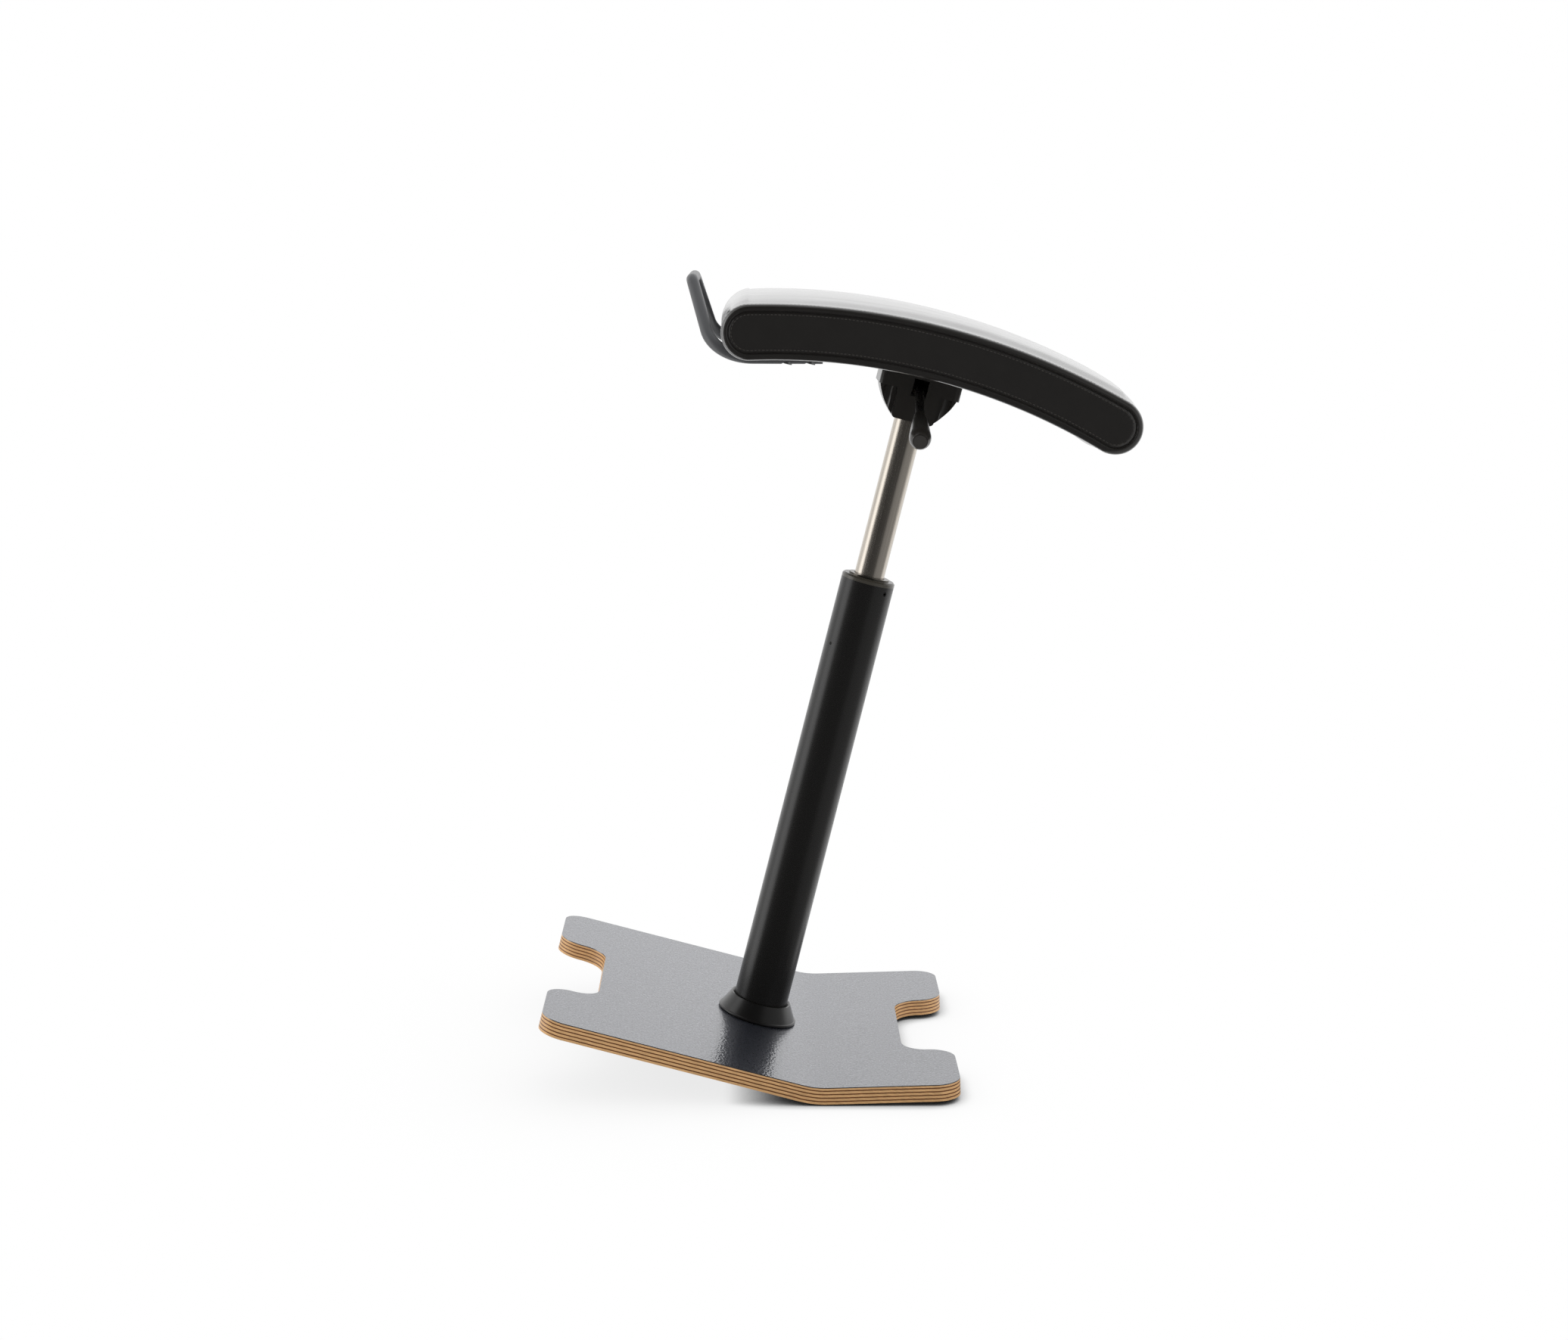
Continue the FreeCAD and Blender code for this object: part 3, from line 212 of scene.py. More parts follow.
def add_noise(tree, place, size, detail=2.0):
    """Soft random cloud whose features are about size mm across."""
    return add_node(tree, "ShaderNodeTexNoise",
                    {"Vector": place, "Scale": per_metre(size), "Detail": detail}).outputs["Fac"]


def add_shade(tree, colour, share):
    """A colour made lighter or darker by a socket."""
    return add_node(tree, "ShaderNodeVectorMath",
                    {0: linear(colour)[:3], "Scale": share}, operation="SCALE").outputs["Vector"]


def add_bump(tree, height, strength, depth, **settings):
    """A surface bumped by a height, up to depth in mm."""
    return add_node(tree, "ShaderNodeBump",
                    {"Height": height, "Strength": strength, "Distance": depth * MM},
                    **settings).outputs["Normal"]


def add_stretch(tree, place, scale):
    """Coordinates whose features are drawn out where the scale is small."""
    return add_node(tree, "ShaderNodeMapping",
                    {"Vector": place, "Scale": scale}).outputs["Vector"]


def add_upright(tree, place):
    """Coordinates turned back by the lean, along and across the upright stool."""
    return add_node(tree, "ShaderNodeVectorRotate", {"Vector": place, "Angle": -LEAN_ANGLE},
                    rotation_type="Y_AXIS").outputs["Vector"]


def smooth_step(low, high, value):
    share = min(1.0, max(0.0, (value - low) / (high - low)))
    return share * share * (3.0 - 2.0 * share)


def new_finish(name):
    """An empty material with its output, its shader and object coordinates in metres."""
    material = bpy.data.materials.new(name)
    material.use_nodes = True
    tree = material.node_tree
    tree.nodes.clear()
    output = add_node(tree, "ShaderNodeOutputMaterial")
    shader = add_node(tree, "ShaderNodeBsdfPrincipled")
    tree.links.new(shader.outputs["BSDF"], output.inputs["Surface"])
    place = add_node(tree, "ShaderNodeTexCoord").outputs["Object"]
    return material, tree, shader, place


def set_shader(shader, **values):
    """Set or link the shader's inputs; underscores stand for spaces."""
    for name, value in values.items():
        socket = shader.inputs[name.replace("_", " ")]
        if isinstance(value, bpy.types.NodeSocket):
            shader.id_data.links.new(value, socket)
        else:
            socket.default_value = value


def dress(node_name, material):
    """Give a carried-over CAD node one material."""
    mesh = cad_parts[node_name].data
    mesh.materials.clear()
    mesh.materials.append(material)


def ease_edges(node_name, width):
    """Round a CAD node's sharp edges by a small radius in mm, so that they catch light."""
    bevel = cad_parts[node_name].modifiers.new("eased_edge", "BEVEL")
    bevel.width = width * MM
    bevel.segments = 2
    bevel.limit_method = "ANGLE"
    bevel.angle_limit = math.radians(50)


def piece_from(name, vertices, faces, material, body, smooth=True):
    """A new piece from points in the upright frame in mm, riding on a CAD body."""
    mesh = bpy.data.meshes.new(name)
    mesh.from_pydata([LEAN @ (Vector(point) * MM) for point in vertices], [], faces)
    mesh.polygons.foreach_set("use_smooth", [smooth] * len(mesh.polygons))
    mesh.materials.append(material)
    mesh.update()
    piece = bpy.data.objects.new(name, mesh)
    bpy.context.scene.collection.objects.link(piece)
    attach(piece, body)
    return piece


# Finishes

def leather_finish(colours):
    """Dyed top-grain leather, rolled and lightly waxed: a black with a soft grain of small
    cells, which turns pale where it mirrors the studio at a low angle."""
    material, tree, shader, place = new_finish("dyed_leather")
    cells = add_node(tree, "ShaderNodeTexVoronoi", {"Vector": place, "Scale": per_metre(1.3)},
                     feature="DISTANCE_TO_EDGE").outputs["Distance"]
    folds = add_noise(tree, place, 22.0, 3.0)
    tone = add_range(tree, folds, 0.86, 1.16)
    creases = add_range(tree, cells, 0.0, 1.0, 0.0, 0.25)
    set_shader(shader, Base_Color=add_shade(tree, colours.leather, tone),
               Roughness=add_range(tree, folds, 0.27, 0.38),
               Normal=add_bump(tree, creases, 0.10, 0.12),
               IOR=1.55, Coat_Weight=1.0, Coat_Roughness=0.13, Coat_IOR=1.75)
    return material


def thread_finish(colours):
    """Twisted polyester thread: dark, with a faint silky gloss along each stitch."""
    material, tree, shader, place = new_finish("polyester_thread")
    twist = add_noise(tree, place, 0.5)
    set_shader(shader, Base_Color=linear(colours.thread),
               Roughness=add_range(tree, twist, 0.4, 0.6), Sheen_Weight=0.3)
    return material


def lining_finish(colours):
    """Plain woven polyester lining: matt black with a fine square weave."""
    material, tree, shader, place = new_finish("woven_lining")
    # Real threads lie 0.5 mm apart; they are drawn 1.2 mm apart so that the weave shows.
    upright = add_upright(tree, place)
    warp, weft = (add_node(tree, "ShaderNodeTexWave",
                           {"Vector": upright, "Scale": per_metre(1.2) / 6.283},
                           bands_direction=direction).outputs["Fac"] for direction in "XY")
    weave = add_maths(tree, "MULTIPLY", warp, weft)
    tone = add_range(tree, weave, 0.7, 1.2)
    set_shader(shader, Base_Color=add_shade(tree, colours.lining, tone),
               Normal=add_bump(tree, weave, 0.5, 0.2), Roughness=0.85, Sheen_Weight=0.25,
               Sheen_Roughness=0.5)
    return material


def board_reach(tree, upright):
    """Distance from the axis of the bend, as if the flat wings went on round it."""
    parts = add_node(tree, "ShaderNodeSeparateXYZ", {"Vector": upright})
    down = add_maths(tree, "MULTIPLY", parts.outputs["Z"], -1.0)
    angle = add_maths(tree, "ARCTAN2", parts.outputs["X"], down)
    bend = add_node(tree, "ShaderNodeClamp",
                    {"Value": angle, "Min": 0.0, "Max": BEND_ANGLE}).outputs["Result"]
    forward = add_maths(tree, "MULTIPLY", parts.outputs["X"], add_maths(tree, "SINE", bend))
    return add_maths(tree, "MULTIPLY_ADD", down, add_maths(tree, "COSINE", bend), forward)


def plywood_finish(board, colours):
    """Beech plywood with a clear lacquer: pale plies whose grain runs along the edge between
    brown plies cut across the grain, following the bend."""
    material, tree, shader, place = new_finish("lacquered_beech_plywood")
    centred = add_node(tree, "ShaderNodeVectorMath", {0: place, 1: BEND_CENTRE},
                       operation="SUBTRACT").outputs["Vector"]
    upright = add_upright(tree, centred)
    # The real board has eleven plies; nine are drawn, so that each stays apart at this size.
    top_of_wood = (board.inner_radius + board.laminate) * MM
    depth = add_range(tree, board_reach(tree, upright), 0.0, float(board.plies), top_of_wood,
                      top_of_wood + board.plywood * MM)
    inside = add_node(tree, "ShaderNodeClamp",
                      {"Value": depth, "Min": 0.12, "Max": board.plies - 0.3}).outputs["Result"]
    wavy = add_maths(tree, "MULTIPLY_ADD", add_noise(tree, place, 9.0, 3.0), 0.30, inside)
    layers = add_maths(tree, "SINE", add_maths(tree, "MULTIPLY", wavy, math.pi))
    # Fibres along the edge are long and thin; cut across the grain they are short dots.
    fibres = add_noise(tree, add_stretch(tree, upright, (0.05, 0.05, 1.0)), 0.55, 3.0)
    dots = add_noise(tree, place, 0.9)
    pale = add_range(tree, fibres, 0.72, 1.12, 0.3, 0.7)
    brown = add_range(tree, dots, 0.6, 1.45, 0.3, 0.7)
    # Inputs 6 and 7 of a mix are its two colours.
    mixed = add_node(tree, "ShaderNodeMix",
                     {0: add_range(tree, layers, 0.0, 1.0, -0.7, -0.25),
                      6: add_shade(tree, colours.dark_ply, brown),
                      7: add_shade(tree, colours.light_ply, pale)}, data_type="RGBA")
    set_shader(shader, Base_Color=mixed.outputs[2], Normal=add_bump(tree, fibres, 0.25, 0.1),
               Roughness=0.5, Coat_Weight=0.25, Coat_Roughness=0.25)
    return material


def laminate_finish(colours):
    """High pressure laminate with a pebble texture pressed in: black from above, a pale grey
    sheen at a low angle, broken by the small pebbles."""
    material, tree, shader, place = new_finish("pebbled_laminate")
    # Real pebbles are about 1 mm across; they are drawn 2.2 mm across so that they show.
    pebbles = add_node(tree, "ShaderNodeTexVoronoi",
                       {"Vector": place, "Scale": per_metre(2.2), "Smoothness": 0.4},
                       feature="SMOOTH_F1").outputs["Distance"]
    grit = add_noise(tree, place, 1.6)
    relief = add_bump(tree, pebbles, 0.8, 0.2, invert=True)
    set_shader(shader, Base_Color=linear(colours.laminate),
               Roughness=add_range(tree, grit, 0.26, 0.5, 0.35, 0.65),
               Normal=relief, IOR=1.8, Coat_Normal=relief, Coat_Weight=1.0,
               Coat_Roughness=0.12, Coat_IOR=2.1, Coat_Tint=linear("#f4f6ff"))
    return material


def coated_finish(name, colour, grit, roughness):
    """Powder coat baked on steel: an even satin skin with a faint orange peel."""
    material, tree, shader, place = new_finish(name)
    peel = add_noise(tree, place, grit)
    set_shader(shader, Base_Color=linear(colour),
               Roughness=add_range(tree, peel, roughness - 0.04, roughness + 0.05),
               Normal=add_bump(tree, peel, 0.05, 0.05))
    return material


def moulded_finish(name, colour):
    """Plastic injection moulded in a spark-eroded tool: dull, with a fine even grain."""
    material, tree, shader, place = new_finish(name)
    grain = add_noise(tree, place, 0.7, 3.0)
    set_shader(shader, Base_Color=linear(colour), Roughness=add_range(tree, grain, 0.26, 0.4),
               Normal=add_bump(tree, grain, 0.2, 0.06), IOR=1.5, Coat_Weight=0.4,
               Coat_Roughness=0.16)
    return material


def rubber_finish():
    """Moulded nitrile rubber: dull black, a little dusty."""
    material, tree, shader, place = new_finish("moulded_rubber")
    dust = add_range(tree, add_noise(tree, place, 4.0, 4.0), 0.8, 1.5)
    set_shader(shader, Base_Color=add_shade(tree, "#171716", dust), Roughness=0.75)
    return material


def brushed_finish(colours):
    """Nickel-plated steel tube, drawn and brushed along its length: warm grey with long
    streaks, bright at both edges where it mirrors the studio behind."""
    material, tree, shader, place = new_finish("brushed_nickel")
    # Brush marks are about 0.1 mm wide; they are drawn 0.5 mm wide so that they show.
    drawn_out = add_stretch(tree, add_upright(tree, place), (1.0, 1.0, 0.012))
    marks = add_noise(tree, drawn_out, 0.9, 3.0)
    tone = add_range(tree, marks, 0.82, 1.05, 0.3, 0.7)
    set_shader(shader, Base_Color=add_shade(tree, colours.nickel, tone),
               Roughness=add_range(tree, marks, 0.17, 0.33, 0.3, 0.7),
               Normal=add_bump(tree, marks, 0.12, 0.05), Metallic=1.0)
    return material


def plain_metal_finish(name, colour, roughness, mark):
    """Machined or plated metal with fine tool marks."""
    material, tree, shader, place = new_finish(name)
    marks = add_noise(tree, place, mark, 3.0)
    set_shader(shader, Base_Color=linear(colour),
               Roughness=add_range(tree, marks, roughness - 0.06, roughness + 0.08),
               Normal=add_bump(tree, marks, 0.1, 0.03), Metallic=1.0)
    return material


def raw_plywood_finish():
    """Raw birch plywood of the hidden seat shell: pale, with long fine grain."""
    material, tree, shader, place = new_finish("raw_birch_plywood")
    grain = add_noise(tree, add_stretch(tree, place, (1.0, 0.06, 1.0)), 1.6, 5.0)
    ramp = add_node(tree, "ShaderNodeValToRGB", {"Fac": grain})
    ramp.color_ramp.elements[0].color = linear("#a97f4d")
    ramp.color_ramp.elements[1].color = linear("#dcb988")
    set_shader(shader, Base_Color=ramp.outputs["Color"], Roughness=0.7)
    return material


# The pad's form

def outline(pad, inset, crown, count_long, count_end):
    """Points (x, height, part) round the pad's side outline, drawn in by inset; a crown lifts
    the top and swells the round ends."""
    top = pad.top - inset + crown
    bottom = pad.bottom + inset
    radius = pad.end_radius - inset + crown / 2
    end_height = pad.end_height + crown / 2
    place = pad.end_place
    rise = top - end_height
    drop = end_height - bottom
    upper = (place ** 2 + rise ** 2 - radius ** 2) / (2 * (rise - radius))
    lower = (place ** 2 + drop ** 2 - radius ** 2) / (2 * (radius - drop))
    upper_half = math.atan2(place, end_height - top + upper)
    lower_half = math.atan2(place, end_height - bottom + lower)
    points = []
    for step in range(count_long):
        angle = upper_half * (2 * step / count_long - 1)
        points.append((upper * math.sin(angle), top - upper + upper * math.cos(angle), "top"))
    high = math.pi / 2 - upper_half
    low = -math.pi / 2 - lower_half
    for step in range(count_end):
        angle = high + (low - high) * step / count_end
        points.append((place + radius * math.cos(angle),
                       end_height + radius * math.sin(angle), "front"))
    for step in range(count_long):
        angle = lower_half * (1 - 2 * step / count_long)
        points.append((lower * math.sin(angle), bottom - lower + lower * math.cos(angle),
                       "under"))
    for step in range(count_end):
        angle = low + (high - low) * step / count_end
        points.append((-place - radius * math.cos(angle),
                       end_height + radius * math.sin(angle), "rear"))
    return [(x + pad.shift, height, part) for x, height, part in points]


# From the top panel over the seam, the round band and the second seam to the side panel:
# how far outside the panel's face each line lies, and how far it is drawn in, in mm.
BAND = (
    (-14.0, 0.0), (-11.0, 0.0), (-9.0, 0.05), (-7.9, 0.25), (-7.2, 0.8), (-6.7, 1.8),
    (-6.2, 0.85), (-5.7, 0.2), (-4.8, 0.0), (-3.7, 0.25), (-2.6, 0.8), (-1.6, 1.6),
    (-0.8, 2.6), (-0.25, 3.7), (0.0, 4.7), (-0.15, 5.4), (-0.8, 5.9), (-1.9, 6.35),
    (-0.9, 6.9), (-0.2, 7.6), (0.35, 9.0), (0.75, 11.0), (0.95, 13.5), (1.0, 16.0),
    (1.0, 18.5), (1.0, 20.5),
)
OUTER_SEAM = 5
INNER_SEAM = 17
# The lines that the rows of stitches follow, beside the two seams.
OUTER_STITCHES = 3
INNER_STITCHES = 20
# How many points go along the pad's top or bottom, and round one end.
COUNT_LONG = 176
COUNT_END = 40


def pad_rings(pad, middle_steps):
    """Stations across the pad, from one side panel's middle to the other's."""
    flat_half = pad.half_width + BAND[OUTER_SEAM][0]
    half = []
    for step in range(middle_steps):
        place = (pad.half_width + BAND[0][0]) * step / middle_steps
        half.append((place, 0.0))
    half += [(pad.half_width + back, drawn_in) for back, drawn_in in BAND]
    rings = []
    for place, drawn_in in half:
        crown = pad.crown * max(0.0, 1 - (place / flat_half) ** 2)
        rings.append((place, drawn_in, crown))
    mirrored = [(-place, drawn_in, crown) for place, drawn_in, crown in rings[:0:-1]]
    return mirrored + rings


def closed_form(ring_points):
    """Faces that join rings of equal count and close both ends with a ladder, whose rungs
    start from the middle of the rear end."""
    count = len(ring_points[0])
    vertices = [point for ring in ring_points for point in ring]
    faces = []
    for ring in range(len(ring_points) - 1):
        start = ring * count
        for step in range(count):
            after = (step + 1) % count
            faces.append((start + step, start + after, start + count + after,
                          start + count + step))
    for ring, flip in ((0, False), (len(ring_points) - 1, True)):
        start = ring * count
        centre = count - COUNT_END // 2
        pairs = [(start + (centre + step) % count, start + (centre - step) % count)
                 for step in range(count // 2 + 1)]
        for step in range(len(pairs) - 1):
            a, b = pairs[step]
            c, d = pairs[step + 1]
            corners = [a, c, d, b]
            if a == b:
                corners = [a, c, d]
            if c == d:
                corners = [a, c, b]
            faces.append(tuple(corners if flip else reversed(corners)))
    return vertices, faces


def fill_push(pad):
    """Inflate a plain copy of the pad as cloth, and return a lookup of how far the filling
    pushes the leather at any point, in mm."""
    # The filling starts 3 mm inside the leather; its two sides are drawn in by 8 mm.
    flat_half = pad.half_width - 7.0
    side = pad.half_width - 2.0
    stations = [(flat_half * step / 8, 3.0, pad.crown * (1 - (step / 8) ** 2))
                for step in range(-8, 9)]
    stations = [(-side, 8.0, 0.0)] + stations + [(side, 8.0, 0.0)]
    rings = []
    for place, drawn_in, crown in stations:
        rings.append([(x, place, height) for x, height, _ in
                      outline(pad, drawn_in, crown, COUNT_LONG, COUNT_END)])
    vertices, faces = closed_form(rings)
    mesh = bpy.data.meshes.new("filling")
    mesh.from_pydata([Vector(point) * MM for point in vertices], [], faces)
    filling = bpy.data.objects.new("filling", mesh)
    scene = bpy.context.scene
    scene.collection.objects.link(filling)
    bpy.context.view_layer.objects.active = filling
    remesh = filling.modifiers.new("even", "REMESH")
    remesh.mode = "VOXEL"
    remesh.voxel_size = 6.0 * MM
    bpy.ops.object.modifier_apply(modifier=remesh.name)
    before = [vertex.co.copy() for vertex in filling.data.vertices]
    cloth = filling.modifiers.new("filling", "CLOTH")
    cloth.settings.use_pressure = True
    cloth.settings.uniform_pressure_force = pad.fill_pressure
    cloth.settings.effector_weights.gravity = 0.0
    cloth.settings.quality = 5
    for number in range(1, 21):
        scene.frame_set(number)
    shaped = filling.evaluated_get(bpy.context.evaluated_depsgraph_get())
    after = [vertex.co.copy() for vertex in shaped.data.vertices]
    scene.frame_set(1)
    tree = kdtree.KDTree(len(before))
    pushes = []
    for index, (start, end) in enumerate(zip(before, after)):
        push = end - start
        if push.length > pad.fill_cap * MM:
            push = push.normalized() * pad.fill_cap * MM
        pushes.append(push / MM)
        tree.insert(start, index)
    tree.balance()
    bpy.data.objects.remove(filling)
    bpy.data.meshes.remove(mesh)

    def mean_push(point, scale):
        total = Vector((0.0, 0.0, 0.0))
        weights = 0.0
        for _, index, distance in tree.find_n(Vector(point) * MM, 40):
            weight = math.exp(-0.5 * (distance / (9.0 * MM)) ** 2)
            total += pushes[index] * weight
            weights += weight
        return total * (scale / weights)

    rise = mean_push((pad.shift, 0.0, pad.top + pad.crown), 1.0).z
    if rise < 0.1:
        raise RuntimeError("the filling did not lift the seat")
    return lambda point: mean_push(point, pad.fill_rise / rise)


# The handle's run under the pad's rear rim: two points of its centre line, in mm.
BAR_RUN = (Vector((-191.5, 138.0, 591.3)), Vector((-98.5, 138.0, 614.8)))
BAR_RADIUS = 5.5
# The gap that stays round the bar, and how far past its foot and its end the dent goes on.
BAR_GAP = 0.5
PAST_FOOT = 5.0
PAST_END = 8.0


def pushed_off_bar(point):
    """Keep a soft piece off the handle's run: it dents upward where the bar passes below."""
    start, end = BAR_RUN
    if not start.x - PAST_FOOT <= point.x <= end.x + PAST_END:
        return point
    share = (point.x - start.x) / (end.x - start.x)
    above = point.z - (start.z + (end.z - start.z) * share)
    clear = BAR_RADIUS + BAR_GAP
    if above >= clear:
        return point
    # The lift is whole over most of the bar's width and gone at one and a half times it.
    beside = abs(abs(point.y) - start.y) / (1.02 * clear)
    fade = math.exp(-0.7 * beside ** 4)
    return Vector((point.x, point.y, point.z + (clear - above) * fade))


def leather_ripple(x, across, depth):
    """Long shallow creases along the seat where the leather is pulled over its ends, in mm."""
    slow = noise.noise(Vector((x / 150.0, across / 13.0, depth)))
    fine = noise.noise(Vector((x / 60.0 + 9.0, across / 6.0, depth)))
    return 0.22 * slow + 0.08 * fine


def cover_point(pad, push_at, place, drawn_in, x, height, part):
    """One point of the cover: filled, drawn up into the recess, rippled and off the bar."""
    point = Vector((x, place, height))
    outer_place = pad.half_width + BAND[OUTER_SEAM][0]
    on_side = abs(place) > outer_place and drawn_in > BAND[INNER_SEAM][1]
    if on_side:
        hold = smooth_step(BAND[INNER_SEAM][1], 15.0, drawn_in)
    else:
        hold = 1 - smooth_step(outer_place - 32, outer_place - 1, abs(place))
    if part == "under":
        inside = (smooth_step(0.0, 5.0, pad.recess_half_length - abs(x - pad.shift))
                  * smooth_step(0.0, 1.6, pad.recess_half_width - abs(place)))
        hold *= 1 - inside
        point.z += (pad.recess + 1.0) * inside
    if hold > 0.001:
        push = push_at(point) * hold
        if on_side:
            push = Vector((0.0, push.y * 0.6, 0.0))
        elif part == "top":
            push.z *= 1 + pad.fill_forward * (x - pad.shift) / 124.0
        point += push
    if not on_side and part != "under":
        point.z += leather_ripple(x, place, 0.0) * (0.25 + 0.75 * hold)
    return pushed_off_bar(point)


class PERCH_OT_seat_cover(bpy.types.Operator):
    """Leather cover: crowned top, round ends, a band between two seams and flat side panels"""
    bl_idname = "perch.seat_cover"
    bl_label = "Seat cover"

    def execute(self, context):
        pad = context.scene.perch_pad
        colours = context.scene.perch_colours
        push_at = fill_push(pad)
        stations = pad_rings(pad, 20)
        ring_points = [
            [cover_point(pad, push_at, place, drawn_in, x, height, part)
             for x, height, part in outline(pad, drawn_in, crown, COUNT_LONG, COUNT_END)]
            for place, drawn_in, crown in stations]
        pucker_side_panels(pad, stations, ring_points)
        vertices, faces = closed_form(ring_points)
        cover = piece_from("leather_cover", vertices, faces, leather_finish(colours), "seat")
        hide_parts("seat_cover", "side_panel_left", "side_panel_right", "seat_foam")
        stitch_seams(pad, colours, stations, ring_points)
        return {"FINISHED"}


def pucker_side_panels(pad, stations, ring_points):
    """Small creases across the inner seam, deeper round the two ends."""
    for (place, drawn_in, _), ring in zip(stations, ring_points):
        if drawn_in <= BAND[INNER_SEAM][1]:
            continue
        fade = 1 - smooth_step(7.0, 15.0, drawn_in)
        sign = math.copysign(1.0, place)
        for index, point in enumerate(ring):
            near_end = smooth_step(120.0, 175.0, abs(point.x - pad.shift))
            crease = noise.noise(Vector((index * 0.9, sign * 7.0, drawn_in * 0.08)))
            point.y += sign * crease * fade * (0.10 + 0.30 * near_end)


def stitch_seams(pad, colours, stations, ring_points):
    """Rows of stitches along both seams of both sides."""
    thread = thread_finish(colours)
    for side_name, sign in (("right", -1), ("left", 1)):
        for seam_name, line in (("outer", OUTER_STITCHES), ("inner", INNER_STITCHES)):
            place, drawn_in = pad.half_width + BAND[line][0], BAND[line][1]
            index = min(range(len(stations)), key=lambda number: (
                abs(stations[number][0] - sign * place) + abs(stations[number][1] - drawn_in)))
            ring = ring_points[index]
            above = ring_points[index + (1 if index < len(ring_points) // 2 else -1)]
            make_stitches(f"stitches_{seam_name}_{side_name}", ring, above, pad, thread)


def make_stitches(name, ring, beside, pad, thread):
    """One row of stitches on a closed line: short rounded lengths of thread, slightly sunk."""
    count = len(ring)
    lengths = [0.0]
    for index in range(count):
        lengths.append(lengths[-1] + (ring[(index + 1) % count] - ring[index]).length)
    total = lengths[-1]
    stitches = round(total / pad.stitch_pitch)
    vertices = []
    faces = []
    segment = 0
    middle = sum(ring, Vector((0.0, 0.0, 0.0))) / count
    # Places along a stitch, from end to end, with its thickness there.
    profile = ((-1.0, 0.15), (-0.8, 0.8), (0.0, 1.0), (0.8, 0.8), (1.0, 0.15))
    half = pad.stitch_pitch * 0.36
    sides = 6
    for stitch in range(stitches):
        distance = total * stitch / stitches
        while lengths[segment + 1] < distance:
            segment += 1
        share = (distance - lengths[segment]) / (lengths[segment + 1] - lengths[segment])
        start = ring[segment]
        end = ring[(segment + 1) % count]
        centre = start.lerp(end, share)
        along = (end - start).normalized()
        across = beside[segment] - start
        across = (across - along * across.dot(along)).normalized()
        outward = along.cross(across).normalized()
        if outward.dot(centre - Vector((centre.x, middle.y * 0.9, middle.z))) < 0:
            outward = -outward
        base = len(vertices)
        for offset, girth in profile:
            sink = -0.35 * offset * offset
            for step in range(sides):
                turn = 2 * math.pi * step / sides
                radius = pad.thread_radius * girth
                vertices.append(centre + along * half * offset
                                + across * radius * math.cos(turn)
                                + outward * (radius * math.sin(turn) + sink + 0.12))
        for band in range(len(profile) - 1):
            low = base + band * sides
            high = low + sides
            for step in range(sides):
                after = (step + 1) % sides
                faces.append((low + step, low + after, high + after, high + step))
        faces.append(tuple(base + step for step in reversed(range(sides))))
        last = base + (len(profile) - 1) * sides
        faces.append(tuple(last + step for step in range(sides)))
    return piece_from(name, vertices, faces, thread, "seat")


class PERCH_OT_underside_lining(bpy.types.Operator):
    """Lining under the seat: a sheet stapled inside the cover's rim, loose between staples"""
    bl_idname = "perch.underside_lining"
    bl_label = "Underside lining"

    def execute(self, context):
        pad = context.scene.perch_pad
        colours = context.scene.perch_colours
        drop = pad.end_height - pad.bottom
        lower = (pad.end_place ** 2 + drop ** 2 - pad.end_radius ** 2) / (
            2 * (pad.end_radius - drop))
        long_steps = 120
        wide_steps = 64
        half_length = pad.recess_half_length - 0.6
        half_width = pad.recess_half_width - 0.4
        staple_pitch = 38.0
        fold_size = 34.0
        layers = []
        for lift, sink in ((0.0, 1.0), (0.9, 0.0)):
            for row in range(wide_steps + 1):
                across = half_width * (2 * row / wide_steps - 1)
                for column in range(long_steps + 1):
                    x = half_length * (2 * column / long_steps - 1)
                    edge = min(half_length - abs(x), half_width - abs(across))
                    loose = noise.noise(Vector((x / fold_size, across / fold_size, 3.0)))
                    beside = x if half_width - abs(across) < edge + 1 else across
                    staple = math.cos(2 * math.pi * beside / staple_pitch)
                    sag = 0.35 * loose + 0.25 * staple * smooth_step(14.0, 0.0, edge)
                    reach = lower + pad.recess + 0.3 + lift
                    height = pad.bottom - lower + math.sqrt(reach ** 2 - x ** 2)
                    low = height - sink * max(0.0, sag)
                    layers.append(pushed_off_bar(Vector((x + pad.shift, across, low))))
        row_length = long_steps + 1
        sheet = row_length * (wide_steps + 1)
        faces = []
        for row in range(wide_steps):
            for column in range(long_steps):
                corner = row * row_length + column
                quad = (corner, corner + 1, corner + row_length + 1, corner + row_length)
                faces.append(tuple(reversed(quad)))
                faces.append(tuple(sheet + index for index in quad))
        border = ([index for index in range(row_length)]
                  + [row * row_length + long_steps for row in range(1, wide_steps + 1)]
                  + [wide_steps * row_length + column for column in range(long_steps - 1, -1, -1)]
                  + [row * row_length for row in range(wide_steps - 1, 0, -1)])
        for index, here in enumerate(border):
            after = border[(index + 1) % len(border)]
            faces.append((here, after, sheet + after, sheet + here))
        lining = piece_from("underside_lining", layers, faces, lining_finish(colours), "seat")
        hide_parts("underside_cover")
        return {"FINISHED"}


class PERCH_OT_board(bpy.types.Operator):
    """Base board: plywood edge, laminate top, rubber strip and feet"""
    bl_idname = "perch.board"
    bl_label = "Board"

    def execute(self, context):
        board = context.scene.perch_board
        colours = context.scene.perch_colours
        dress("base_board", plywood_finish(board, colours))
        dress("top_laminate", laminate_finish(colours))
        rubber = rubber_finish()
        for name in ("ridge_strip", "rear_foot_left", "rear_foot_right", "front_foot_left",
                     "front_foot_right", "rubber_bumper"):
            dress(name, rubber)
        ease_edges("base_board", 0.4)
        return {"FINISHED"}


